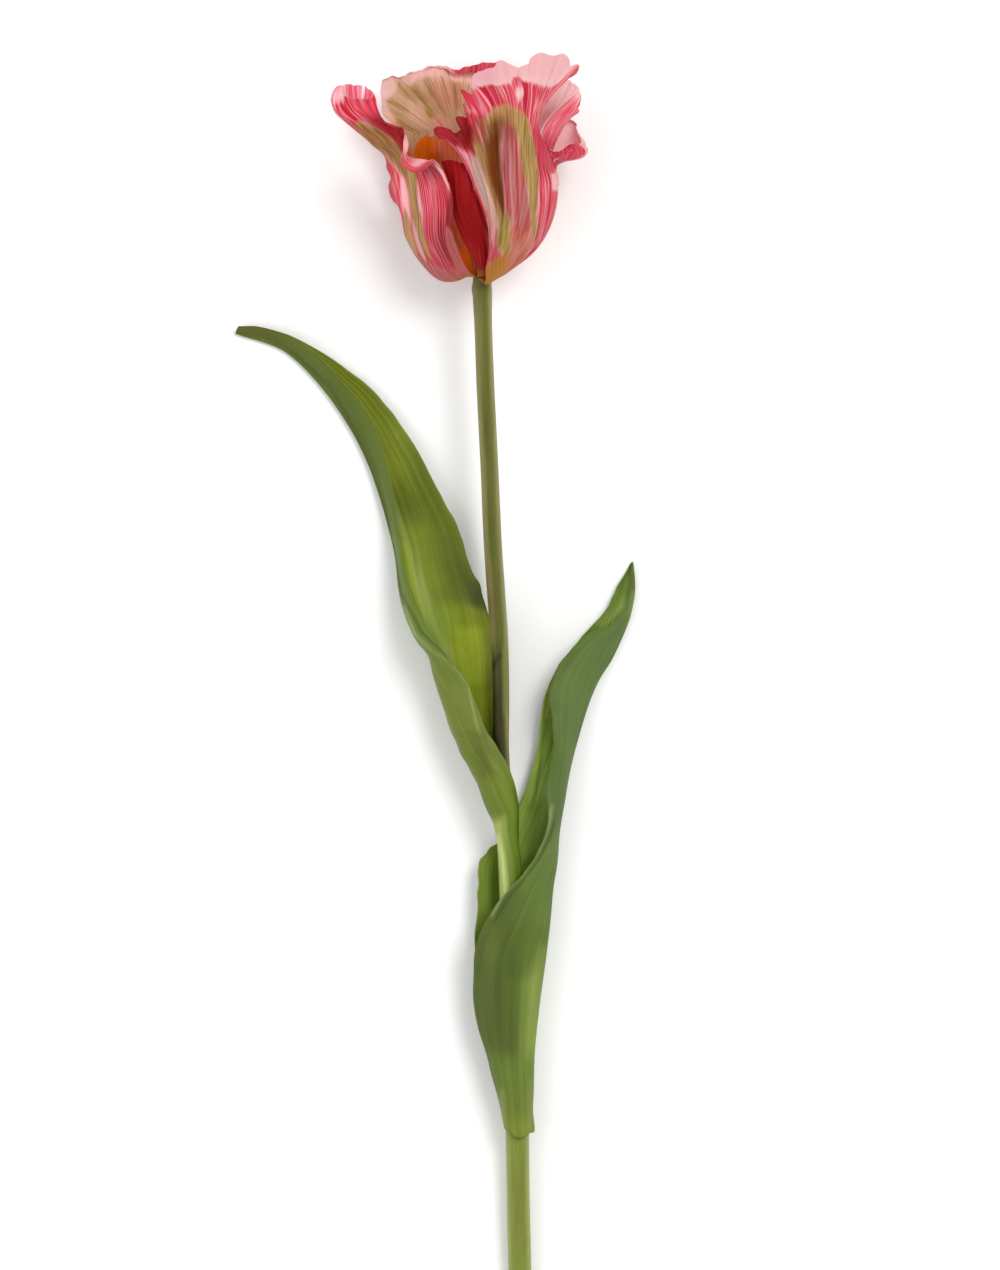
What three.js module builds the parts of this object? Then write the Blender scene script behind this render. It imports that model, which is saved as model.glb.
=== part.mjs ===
// A cut parrot tulip lying on its side: stem, two clasping leaves, six ruffled
// tepals, six stamens and the pistil. Millimetres, +Z up, the bloom toward +Y.
import * as THREE from 'three';

// ---- driving dimensions -------------------------------------------------
const LEAF_MID = 0.9;        // leaf blade thickness along the middle
const LEAF_EDGE = 0.55;      // leaf blade thickness at the margins
const TEPAL_MID = 0.75;      // tepal thickness along the middle
const TEPAL_EDGE = 0.5;      // tepal thickness at the margins
const STEM_SIDES = 14;       // facets round the stem
const AXIS_X = 18.17;         // bloom axis at the receptacle
const AXIS_Y = 157.61;
const AXIS_Z = 27.12;
const AXIS_RISE = 0.045;     // rise of the bloom axis along +Y
const OVARY_LEN = 25;        // ovary length
const OVARY_R = 3.5;         // ovary radius
const STIGMA_R = 5.4;        // radius over the stigma lobes
const STAMENS = 6;
const FILAMENT_LEN = 17;     // filament length
const FILAMENT_R = 0.75;
const ANTHER_LEN = 12.5;     // anther length
const ANTHER_R = 1.45;       // anther half width

// ---- colours ------------------------------------------------------------
const SLOT = {
  stem_green:    { color: 0x8f9450, roughness: 0.55, metalness: 0 },
  leaf_green:    { color: 0x8ea24f, roughness: 0.50, metalness: 0 },
  leaf_dark:     { color: 0x6f8a4c, roughness: 0.50, metalness: 0 },
  tepal_crimson: { color: 0xc2506a, roughness: 0.60, metalness: 0 },
  tepal_pink:    { color: 0xe0a6a0, roughness: 0.60, metalness: 0 },
  filament_cream:{ color: 0xe6dc9a, roughness: 0.60, metalness: 0 },
  anther_dark:   { color: 0x3c2a3a, roughness: 0.85, metalness: 0 },
  pistil_green:  { color: 0xb9c47c, roughness: 0.55, metalness: 0 },
};
const material = {};
for (const [name, m] of Object.entries(SLOT)) {
  material[name] = new THREE.MeshStandardMaterial({ ...m });
  material[name].name = name;
}

// ---- control nets: rows run from the base to the tip, columns across ------

const STEM = [
  [18.17, 157.23, 27.1, 2.28],
  [18.17, 154.58, 26.98, 2.89],
  [17.87, 152.69, 26.88, 2.81],
  [17.68, 149.66, 26.71, 3.29],
  [17.75, 142.85, 26.32, 3.21],
  [18.25, 127.71, 25.45, 3.21],
  [18.81, 112.55, 24.58, 3.21],
  [19.57, 97.4, 23.7, 3.21],
  [20.33, 82.23, 22.83, 3.21],
  [20.97, 67.05, 21.96, 3.25],
  [21.69, 51.87, 21.09, 3.25],
  [22.99, 32.88, 20, 3.25],
  [24.28, 13.88, 18.91, 3.21],
  [24.66, -5.14, 17.83, 3.14],
  [24.62, -24.16, 16.74, 3.1],
  [25.95, -43.2, 15.65, 3.1],
  [27.44, -58.44, 14.78, 3.1],
  [28.35, -73.69, 13.91, 3.14],
  [28.81, -88.95, 13.04, 3.25],
  [29.19, -104.21, 12.16, 3.48],
  [29.65, -123.31, 11.08, 3.86],
  [30.19, -142.41, 9.99, 4.16],
  [30.65, -161.53, 8.9, 4.39],
  [30.99, -180.66, 7.81, 4.43],
  [31.26, -199.8, 6.72, 4.39],
  [31.72, -218.95, 5.63, 4.39],
  [32.26, -238.88, 4.5, 4.5],
];
const LEAF_UPPER = [
  [[32.6, -103.55, 9.53], [33.3, -103.4, 13.55], [30.27, -103.3, 16.41], [26.07, -103.34, 15.28], [24.94, -103.49, 11.08], [27.66, -103.6, 8.12], [31.47, -103.59, 8.52]],
  [[32.14, -83.31, 10.71], [32.83, -83.19, 14.69], [29.84, -83.1, 17.52], [25.69, -83.13, 16.4], [24.57, -83.26, 12.25], [27.26, -83.35, 9.32], [31.03, -83.34, 9.72]],
  [[31.25, -66.9, 11.74], [31.92, -66.8, 15.58], [29.04, -66.73, 18.31], [25.03, -66.75, 17.23], [23.95, -66.86, 13.22], [26.55, -66.93, 10.4], [30.18, -66.92, 10.78]],
  [[31.28, -55.41, 14.3], [30.13, -56.09, 18.1], [27.09, -56.82, 19.4], [24.24, -57.61, 18.1], [23.02, -56.93, 14.6], [24.62, -55.85, 11.5], [28.05, -54.73, 10.8]],
  [[31.09, -44.35, 15.4], [29.75, -46.17, 19.6], [26.14, -48.04, 21.1], [21.96, -49.21, 19.6], [19.9, -47.78, 15.1], [21.95, -45.19, 11.3], [26.53, -42.16, 10.4]],
  [[28.23, -35.13, 20.8], [25.38, -37.01, 22.1], [21.58, -38.9, 22.1], [17.4, -40.09, 19.6], [15.71, -37.9, 14.1], [18.9, -34.54, 10.4], [25, -29.97, 10.1]],
  [[24.62, -26, 21.8], [21.58, -27.88, 23.1], [17.41, -29.78, 22.6], [13.22, -31.73, 19.6], [11.86, -29.16, 13.1], [15.47, -24.63, 9.9], [23.48, -18.53, 10.5]],
  [[19.3, -16.87, 22.7], [15.89, -19.14, 23.9], [12.09, -21.05, 22.9], [8.66, -22.61, 19.3], [6.91, -19.27, 12.3], [12.42, -13.97, 9.1], [23.1, -6.33, 11.1]],
  [[14.37, -3.96, 23.5], [10.96, -6.61, 24.3], [7.15, -8.9, 22.9], [4.09, -10.45, 18.7], [3.67, -5.95, 11.5], [10.51, -0.25, 8.7], [22.72, 7.01, 11.7]],
  [[10.2, 3.64, 24.3], [7.16, 1.36, 24.5], [3.73, -0.55, 22.3], [0.85, -1.34, 17.5], [1.38, 3.19, 10.7], [9.37, 9.28, 8.1], [22.34, 15.77, 12.5]],
  [[5.65, 9.15, 25.7], [2.61, 7.44, 25.3], [-0.45, 7.05, 21.9], [-2.77, 9.31, 16.1], [-1.3, 13.48, 9.3], [7.84, 18.05, 7.1], [21.57, 21.48, 12.7]],
  [[0.35, 16.17, 26.5], [-2.7, 14.65, 25.5], [-5.77, 15.02, 21.5], [-7.35, 18.44, 15.1], [-3.6, 21.87, 8.1], [7.07, 25.69, 6.3], [19.29, 28.72, 11.1]],
  [[-4.98, 25.65, 24.5], [-7.65, 24.52, 23.1], [-9.97, 24.9, 19.1], [-11.36, 27.58, 13.1], [-5.9, 30.64, 6.7], [4.78, 33.7, 5.5], [16.24, 37.11, 10.1]],
  [[-9.38, 36.68, 20.7], [-11.3, 36.31, 18.9], [-12.87, 36.33, 15.1], [-13.87, 37.49, 10.7], [-8.2, 40.19, 5.5], [2.1, 43.25, 4.9], [12.42, 46.65, 9.5]],
  [[-13.05, 49.26, 15.9], [-13.99, 48.9, 13.5], [-14.71, 48.54, 10.5], [-15.05, 49.33, 7.7], [-9.74, 51.66, 3.9], [-0.58, 54.32, 4.3], [8.99, 56.95, 8.9]],
  [[-14.8, 60.33, 12.5], [-15.94, 59.99, 9.7], [-16.96, 59.64, 6.9], [-17.56, 59.66, 4.9], [-12.43, 61.6, 2.5], [-4.02, 64.64, 3.5], [4.41, 67.63, 8.3]],
  [[-16.33, 73.3, 11.5], [-18.08, 72.58, 8.7], [-19.65, 71.87, 5.5], [-21.02, 71.52, 3.3], [-16.26, 73.46, 1.5], [-8.99, 76.11, 2.9], [-1.7, 78.7, 7.5]],
  [[-19.58, 87.79, 10.9], [-21.9, 86.7, 8.3], [-23.86, 85.62, 4.9], [-25.81, 84.91, 2.3], [-21.62, 86.85, 0.8], [-15.49, 89.87, 2.5], [-9.34, 92.46, 6.5]],
  [[-25.69, 103.05, 10.1], [-28.39, 101.58, 7.9], [-30.74, 100.14, 4.5], [-32.88, 98.87, 1.7], [-29.27, 101.38, 0.5], [-23.9, 104.4, 1.9], [-18.51, 106.99, 5.1]],
  [[-37.52, 118.33, 9.1], [-39.85, 116.86, 7.1], [-42.01, 115.61, 4.1], [-43.97, 114.73, 1.5], [-40.74, 116.86, 0.45], [-36.9, 118.94, 1.3], [-33.24, 120.41, 3.3]],
  [[-52.43, 131.54, 7.3], [-53.81, 130.07, 5.7], [-55.2, 128.62, 3.3], [-56.58, 127.15, 1.3], [-54.69, 128.9, 0.5], [-52.97, 130.62, 0.6], [-51.43, 131.94, 1]],
  [[-65.08, 136.45, 5.3], [-65.68, 135.08, 4.2], [-66.29, 133.6, 2.7], [-67.09, 131.93, 1.3], [-65.77, 133.67, 0.7], [-64.82, 135.39, 0.7], [-64.04, 136.53, 1]],
  [[-74.67, 137.39, 3.5], [-75.07, 136.65, 3], [-75.47, 135.72, 2.3], [-75.72, 134.79, 1.5], [-75.12, 135.38, 1.1], [-74.55, 136.14, 1], [-74.05, 136.71, 1.2]],
];
const LEAF_LOWER = [
  [[25.28, -159.24, 8.95], [26.85, -161.33, 12.55], [31.1, -165.05, 14.1], [35.61, -169.05, 10.77], [35.05, -167.81, 5.7], [30.66, -164.12, 3.42], [26.2, -160.93, 5.78]],
  [[22.34, -152.2, 12.3], [25.38, -153.52, 16.3], [29.94, -154.98, 17.5], [36.43, -154.53, 11.5], [35.12, -153.34, 5.1], [29.59, -152.68, 2.9], [22.9, -151.79, 5.5]],
  [[17.39, -136.15, 13.5], [21.2, -136.68, 18.3], [28.42, -137.39, 19.5], [37, -138.48, 12.5], [34.16, -137.28, 5.5], [27.3, -136.67, 2.3], [18.9, -135.72, 6.3]],
  [[14.15, -119.34, 14.9], [19.68, -119.53, 19.5], [28.42, -119.85, 20.7], [38.9, -120.18, 12.9], [35.31, -120.13, 5.1], [26.53, -119.89, 1.7], [15.47, -119.28, 7.1]],
  [[14.35, -103.26, 17.3], [20.06, -103.52, 20.7], [29.18, -103.87, 21.5], [41, -104.56, 13.1], [37.22, -104.48, 5.1], [27.3, -104.21, 2.1], [14.9, -103.22, 8.1]],
  [[18.92, -89.05, 21.7], [25.38, -89.78, 22.5], [34.12, -90.22, 20.7], [42.9, -90.48, 12.7], [38.36, -90.35, 5.3], [27.3, -89.66, 2.9], [15.47, -88.3, 9.7]],
  [[26.52, -78.01, 22.5], [32.22, -77.65, 21.9], [38.69, -77.38, 18.1], [44.24, -76.82, 11.1], [39.51, -76.24, 4.9], [26.91, -75.52, 3.1], [16.05, -76.09, 10.1]],
  [[33.35, -70.8, 22.3], [37.54, -69.7, 20.7], [42.12, -68.29, 16.5], [45.96, -66.55, 10.3], [41.42, -65.54, 5], [28.82, -65.21, 3.3], [17, -67.34, 9.3]],
  [[39.24, -62.09, 21.3], [42.11, -61, 19.1], [45.36, -58.82, 14.9], [46.92, -56.28, 9.7], [43.33, -55.62, 4.9], [33.02, -56.03, 3.7], [23.48, -59.4, 6.5]],
  [[42.48, -52.25, 19.8], [45.16, -50.39, 17.6], [47.66, -47.82, 13.3], [48.45, -44.48, 8.7], [46, -43.8, 4.5], [37.22, -45.72, 3.9], [29.2, -49.88, 5.5]],
  [[42.11, -40.49, 18.4], [45.54, -38.63, 16.3], [49.19, -35.65, 12.1], [50.56, -31.91, 7.7], [47.92, -31.21, 3.7], [40.28, -34.64, 3.9], [33.4, -40.33, 5.9]],
  [[43.45, -27.2, 17.4], [47.45, -25.32, 15.3], [51.48, -22.33, 11.3], [54, -18.95, 6.7], [50.98, -18.24, 2.7], [43.72, -22.81, 3.5], [36.83, -29.64, 6.5]],
  [[44.02, -13.52, 16.5], [48.6, -12.01, 14.7], [53.77, -9.38, 10.7], [57.82, -6.75, 5.7], [54.81, -6.78, 1.7], [46.77, -10.98, 3.1], [39.12, -14.75, 7.3]],
  [[42.88, -2.87, 15.9], [49.37, -1.36, 13.9], [56.07, 0.52, 9.9], [61.65, 2.4, 4.7], [59.4, 2, 0.9], [49.83, -0.66, 2.9], [41.21, -4.07, 7.9]],
  [[46.69, 7.02, 15.3], [53.18, 7.39, 12.9], [59.89, 8.52, 8.9], [66.63, 10.42, 3.9], [63.99, 10.02, 0.5], [54.03, 8.12, 2.7], [45.6, 5.47, 7.1]],
  [[53.55, 16.34, 14.3], [59.29, 15.77, 11.7], [64.67, 16.53, 7.9], [70.45, 18.43, 3.3], [67.43, 17.67, 0.45], [59.39, 16.14, 2.3], [52.67, 15, 5.7]],
  [[61.18, 21.1, 12.7], [65.4, 20.72, 10.3], [69.26, 22.06, 6.9], [73.13, 24.93, 3.1], [69.73, 24.55, 0.5], [63.98, 23.02, 1.9], [58.6, 21.68, 4.7]],
  [[66.93, 23.77, 10.3], [70, 24.92, 8.3], [72.33, 27.21, 5.5], [74.51, 30.28, 2.8], [70.68, 29.52, 0.6], [67.04, 28.75, 1.7], [63.95, 28.17, 4.1]],
  [[71.53, 28.73, 7.9], [73.08, 30.45, 6.3], [74.25, 32.94, 4.4], [75.43, 35.62, 2.5], [72.02, 35.44, 0.8], [69.52, 34.86, 1.6], [67.2, 33.71, 3.5]],
  [[74.05, 36.75, 5.5], [74.64, 38.1, 4.4], [75.03, 39.82, 3.3], [75.51, 41.74, 2.3], [73.16, 41.75, 1], [71.62, 41.17, 1.5], [70.27, 40.21, 2.8]],
  [[74.74, 45.94, 2.9], [74.89, 46.47, 2.5], [74.98, 46.86, 2.1], [74.91, 47.17, 1.7], [74.61, 47.17, 1.3], [74.3, 46.94, 1.4], [74.06, 46.63, 1.8]],
];
const TEPAL_OUTER_FRONT = [
  [[16.2, 154.6, 31.25], [17.07, 154.58, 31.56], [17.98, 154.58, 31.69], [18.9, 154.58, 31.63], [19.8, 154.59, 31.4], [20.63, 154.61, 31], [21.36, 154.63, 30.44], [21.97, 154.66, 29.75], [22.44, 154.69, 28.95], [22.74, 154.73, 28.07], [22.86, 154.76, 27.15]],
  [[18.57, 152.89, 36.12], [19.14, 152.51, 36.91], [19.82, 152.65, 37.31], [20.84, 153.3, 37.14], [22.35, 154.18, 36.78], [23.67, 154.97, 35.92], [24.81, 155.58, 34.94], [25.75, 156.19, 33.97], [26.51, 156.6, 33.09], [27.46, 157.26, 30.91], [27.84, 157.74, 28.53]],
  [[18.96, 158.05, 43.67], [19.52, 158.79, 44.21], [20.28, 159.53, 44.54], [21.6, 160.31, 43.77], [24.24, 161.05, 44.11], [26.88, 161.48, 42.93], [29.15, 161.94, 41.04], [31.04, 162.02, 39.14], [32.56, 162.47, 37.56], [34.84, 163.21, 33.39], [35.91, 163.6, 28.79]],
  [[20.1, 164.59, 49.38], [20.66, 165.48, 50.62], [21.61, 167.13, 51.6], [23.49, 168.35, 49.65], [26.5, 169.41, 51.2], [29.89, 169.84, 49.92], [32.91, 169.96, 47.32], [35.18, 169.69, 44.9], [36.69, 169.41, 42.88], [39.93, 169.69, 36.68], [41.21, 170, 29.88]],
  [[19.54, 173.49, 52.49], [20.48, 175.1, 54.17], [21.61, 176.91, 55.75], [23.86, 178.77, 52.13], [28, 179.76, 55.18], [32.14, 180.19, 54], [35.54, 179.97, 50.78], [37.42, 179.68, 48.96], [38.56, 179.38, 47.35], [43.12, 179.34, 40.33], [45.14, 179.33, 32.71]],
  [[16.72, 182.06, 54.28], [18.41, 185.33, 56.44], [20.11, 187.84, 58.76], [23.11, 190.36, 53.66], [28, 191.65, 57.73], [32.51, 191.71, 56.73], [35.9, 191.11, 53.69], [37.79, 190.45, 51.96], [38.74, 189.77, 50.52], [44.05, 189.75, 43.61], [46.36, 189.74, 36.39]],
  [[11.83, 193.3, 55], [14.47, 196.57, 57.15], [17.48, 199.41, 60.09], [21.61, 202.31, 55.21], [27.62, 203.95, 59.49], [32.13, 203.62, 58.67], [35.52, 202.63, 56.22], [37.21, 201.6, 54.57], [37.78, 200.53, 53.52], [41.76, 198.51, 49.02], [45.37, 196.15, 43.9]],
  [[5.43, 202.02, 53.79], [11.09, 205.62, 56.56], [14.11, 210.24, 61.08], [19.36, 214.14, 58.75], [26.87, 217.7, 61.92], [32.5, 217.7, 61.92], [37, 217.42, 60.41], [39.26, 217.51, 58.91], [39.83, 217.2, 57.79], [40.03, 215.77, 56.62], [40.03, 213.96, 55.34]],
  [[-0.23, 208.95, 51], [7.69, 213.68, 53.72], [9.98, 221.91, 60.61], [14.86, 229.98, 63.49], [23.87, 233.56, 66.16], [32.86, 234.31, 66.19], [41.86, 236.99, 65.31], [48.25, 236.78, 62.8], [53.16, 232.51, 59.19], [53.92, 231.47, 57.94], [53.36, 230.03, 56.87]],
];
const TEPAL_OUTER_LEFT = [
  [[14.53, 155.4, 23.73], [13.85, 155.36, 24.71], [13.42, 155.31, 25.82], [13.28, 155.26, 27.01], [13.43, 155.21, 28.2], [13.86, 155.17, 29.31], [14.55, 155.13, 30.29], [15.45, 155.1, 31.07]],
  [[4.45, 154.69, 14.97], [2.97, 153.5, 20.92], [3.57, 153.07, 26.91], [5.69, 153.33, 31.74], [7.97, 154.18, 34.98], [10.25, 155.31, 37.03], [12.15, 156.39, 38.29], [12.71, 156.68, 38.5]],
  [[-3.96, 161.74, 10.27], [-5.41, 160.62, 18.74], [-2.67, 160.22, 28.24], [0.79, 160.65, 35.77], [3.85, 161.58, 40.53], [6.5, 162.59, 43.38], [8.4, 163.67, 44.63], [8.78, 163.88, 44.94]],
  [[-10.44, 170.87, 10.68], [-11.47, 169.66, 20.65], [-7.55, 169.07, 33.65], [-3.7, 169.08, 41.87], [0.49, 169.61, 46.7], [3.9, 170.63, 49.15], [5.79, 171.35, 49.99], [6.16, 171.72, 50.1]],
  [[-13.84, 182.18, 13.2], [-13.33, 179.72, 24.61], [-8.45, 179.45, 38.13], [-4.41, 179.44, 46.15], [0.15, 179.92, 51.78], [4.12, 180.93, 54.23], [6, 181.3, 54.25], [6.37, 181.53, 53.46]],
  [[-17.61, 188.48, 16.49], [-15, 187.52, 27.97], [-9.36, 187.59, 41.51], [-5.52, 187.58, 49.12], [-0.96, 188.06, 54.56], [3.2, 189.06, 57.01], [5.26, 189.46, 56.62], [5.82, 189.88, 55.64]],
  [[-18.31, 193.97, 20.74], [-16.66, 193.39, 31.74], [-10.28, 193.51, 43.78], [-6.83, 193.75, 50], [-3.21, 194.07, 54.63], [-0.19, 194.69, 57.06], [2.07, 195.05, 57.48], [2.64, 194.67, 57.46]],
  [[-19.4, 199.08, 24.48], [-18.14, 198.17, 34.47], [-11.59, 198.34, 45.3], [-8.52, 198.27, 50.01], [-5.86, 198.27, 53.42], [-3.76, 198.51, 56.04], [-2.25, 198.79, 57.85], [-2.61, 197.38, 59.59]],
  [[-20.88, 202.7, 27.65], [-19.62, 201.83, 36.64], [-13.46, 201.31, 46.14], [-11.54, 200.19, 49.4], [-10.01, 199.3, 51.86], [-8.67, 198.79, 54.24], [-7.33, 198.49, 56.44], [-7.68, 194.58, 59.26]],
  [[-24.05, 204.81, 30.76], [-22.81, 203.98, 38.74], [-16.09, 204.29, 46.77], [-14.37, 203.22, 49.03], [-12.85, 202.18, 50.79], [-11.32, 201.14, 52.55], [-9.79, 200.1, 54.5], [-11.64, 196.55, 57.55]],
  [[-27.23, 207.47, 33.89], [-25.98, 206.7, 40.87], [-19.1, 207.64, 47.43], [-16.82, 207.17, 49.11], [-14.36, 206.72, 50.39], [-11.89, 205.89, 51.76], [-9.62, 205.05, 53.33], [-11.28, 203.03, 55.84]],
  [[-30.58, 210.13, 37.01], [-29.35, 209.41, 43], [-22.86, 210.99, 48.18], [-20.2, 210.91, 49.58], [-17.18, 210.49, 50.37], [-13.97, 210.07, 51.15], [-10.76, 209.26, 52.11], [-10.37, 208.04, 53.66]],
  [[-34.31, 213.35, 40.17], [-33.09, 212.68, 45.15], [-26.61, 214.69, 49.35], [-24.52, 214.44, 50.34], [-22.26, 213.85, 50.92], [-20.18, 213.08, 51.08], [-18.11, 211.96, 51.03], [-17.54, 211.56, 51.42]],
  [[-38.4, 217.12, 43.35], [-37.18, 216.48, 47.83], [-30.32, 218.27, 52.52], [-27.86, 218.21, 53.52], [-25.41, 218, 53.92], [-23.35, 217.27, 53.38], [-21.67, 216.39, 52.44], [-21.11, 216.03, 52.22]],
  [[-39.65, 221.61, 47.06], [-38.43, 221.34, 51.56], [-32.51, 222.71, 56.74], [-29.67, 222.65, 57.74], [-27.23, 222.46, 57.73], [-24.99, 221.96, 56.7], [-22.95, 221.12, 55.06], [-22.21, 220.6, 54.44]],
  [[-37.9, 225.4, 49.74], [-36.12, 226.06, 54.28], [-32.48, 226.16, 58.7], [-30.02, 225.72, 59.68], [-27.77, 225.91, 59.59], [-25.91, 225.42, 58.47], [-24.05, 224.22, 56.61], [-23.13, 223.35, 55.56]],
  [[-35.97, 222.4, 52.61], [-34.37, 222.09, 57.71], [-32.04, 221.07, 62.08], [-29.77, 220.63, 63.06], [-27.72, 220.84, 62.67], [-26.05, 220.76, 61.06], [-24.77, 220.52, 58.84], [-24.04, 220.23, 57.43]],
];
const TEPAL_OUTER_RIGHT = [
  [[22.82, 154.8, 26.34], [22.45, 154.85, 25.05], [21.73, 154.89, 23.93], [20.72, 154.93, 23.05], [19.51, 154.95, 22.49], [18.19, 154.96, 22.29], [16.87, 154.95, 22.47]],
  [[25.42, 156.81, 27.99], [25.3, 156.91, 25.69], [24.43, 157.01, 23.19], [22.53, 157.1, 20.99], [19.95, 157.17, 19.39], [16.79, 157.19, 18.79], [13.64, 157.17, 19.29]],
  [[28.4, 160.7, 34.77], [30.45, 160.89, 30.17], [30.5, 161.13, 24.47], [27.81, 161.38, 18.57], [22.72, 161.56, 14.37], [15.94, 161.64, 12.57], [9.73, 161.6, 13.47]],
  [[33.42, 167.63, 40.5], [37.45, 167.95, 33.4], [38.17, 168.34, 24.6], [34.44, 168.75, 15.4], [26.76, 169.05, 8.7], [16.3, 169.18, 5.8], [7.07, 169.12, 7.1]],
  [[39.65, 177.81, 40.86], [43.05, 178.19, 32.86], [42.92, 178.68, 22.56], [38.14, 179.17, 12.36], [28.94, 179.53, 4.76], [16.56, 179.69, 1.46], [5.3, 179.62, 2.96]],
  [[41.11, 188.25, 43.34], [44.71, 188.75, 33.64], [44.59, 189.31, 22.64], [39.55, 189.86, 11.94], [29.74, 190.27, 3.84], [16.67, 190.45, 0.34], [4.72, 190.37, 1.94]],
  [[41.41, 196.53, 43.92], [45.09, 197.05, 34.12], [44.93, 197.65, 22.92], [39.86, 198.23, 12.12], [29.93, 198.67, 3.92], [16.67, 198.86, 0.32], [4.56, 198.77, 2.02]],
  [[41.96, 199.83, 45.67], [46.14, 198.94, 41.22], [52.63, 198.79, 33.49], [54.61, 202.95, 23.15], [42.54, 207.53, 9.33], [16.6, 208.76, 0.96], [3.99, 208.72, 1.76]],
  [[42.72, 202.13, 44.97], [46.89, 201.32, 42.53], [55.82, 200.9, 36.3], [57.63, 205.11, 25.26], [49.38, 215.33, 12.68], [18.13, 222.49, 1.38], [2.08, 221.72, 1.54]],
  [[43.1, 203.05, 45.41], [47.25, 202.75, 44], [53.32, 202.96, 40.2], [56.08, 207.4, 28.37], [51.26, 215.54, 15.7], [19.65, 227.82, 1.82], [2.84, 227.05, 1.78]],
];
const TEPAL_INNER_FRONT = [
  [[14.8, 155.29, 28.25], [15.45, 155.24, 29.36], [16.44, 155.21, 30.17], [17.65, 155.19, 30.58], [18.93, 155.19, 30.54]],
  [[15.54, 156.88, 35.6], [16.68, 156.46, 36.49], [18.19, 156.45, 36.89], [19.7, 156.83, 36.7], [21.21, 157.24, 35.92]],
  [[13.67, 162.63, 42.58], [15.75, 162.96, 43.59], [18.2, 163.33, 43.81], [21.22, 163.73, 43.23], [24.24, 164.18, 41.64]],
  [[9.54, 169.94, 47.72], [12.56, 170.27, 48.74], [16.33, 170.65, 48.75], [20.47, 171.08, 47.57], [24.62, 171.56, 45.39]],
  [[6.35, 180, 50.18], [9.56, 180.31, 51.6], [13.7, 180.67, 51.81], [18.22, 181.12, 50.43], [22.36, 181.61, 48.05]],
  [[4.66, 189.4, 50.41], [7.87, 189.66, 52.62], [12.2, 190.02, 53.04], [17.09, 190.85, 51.48], [21.6, 191.75, 48.71]],
  [[2.2, 197.82, 47.98], [5.98, 198.05, 50.6], [11.07, 196.86, 51.75], [15.96, 201.41, 51.15], [20.85, 204.18, 48.67]],
];
const TEPAL_INNER_RIGHT = [
  [[20.29, 155.22, 29.93], [21.14, 155.25, 29.05], [21.65, 155.3, 27.94], [21.75, 155.35, 26.72], [21.44, 155.4, 25.53], [20.75, 155.44, 24.52]],
  [[23.1, 158.49, 33.17], [24.73, 158.98, 30.69], [25.3, 159.12, 27.19], [24.73, 158.89, 23.67], [23.21, 158.62, 21.15], [21.96, 158.67, 19.95]],
  [[29.53, 167.18, 41.98], [34.07, 167.81, 36.4], [35.61, 168.15, 28.8], [34.5, 168.12, 20.98], [31.47, 167.96, 16.16], [27.29, 167.71, 13.15]],
  [[34.04, 179.43, 46.35], [38.22, 180.12, 39.96], [40.34, 180.56, 30.76], [39.43, 180.62, 21.75], [36.04, 180.63, 13.73], [31.1, 180.89, 8.33]],
  [[35.73, 190.62, 48.66], [39.72, 191.34, 42.08], [41.84, 191.82, 32.88], [40.75, 192.3, 23.48], [37.18, 192.73, 15.28], [31.86, 193.01, 9.88]],
  [[37.79, 201.43, 50.75], [41.78, 202.17, 44.17], [43.91, 203.05, 35.19], [42.45, 204.3, 26.22], [38.69, 205.47, 18.86], [33.38, 206.15, 13.47]],
  [[41.55, 210.77, 51.98], [45.55, 210.41, 45.15], [48.07, 211.7, 35.98], [45.84, 214.77, 28.7], [41.71, 217.04, 22.39], [36.03, 218.5, 17.04]],
  [[47.21, 218.02, 50.31], [50.65, 216.55, 43.42], [52.8, 218.17, 35.27], [49.62, 222.65, 30.06], [44.73, 225.24, 24.96], [38.68, 226.72, 19.42]],
  [[53.28, 226.08, 44.86], [54.84, 222.83, 39.5], [55.46, 223.95, 33.53], [52.27, 228.29, 30.72], [47.38, 230.84, 26.42], [40.96, 232.71, 20.89]],
];
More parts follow.
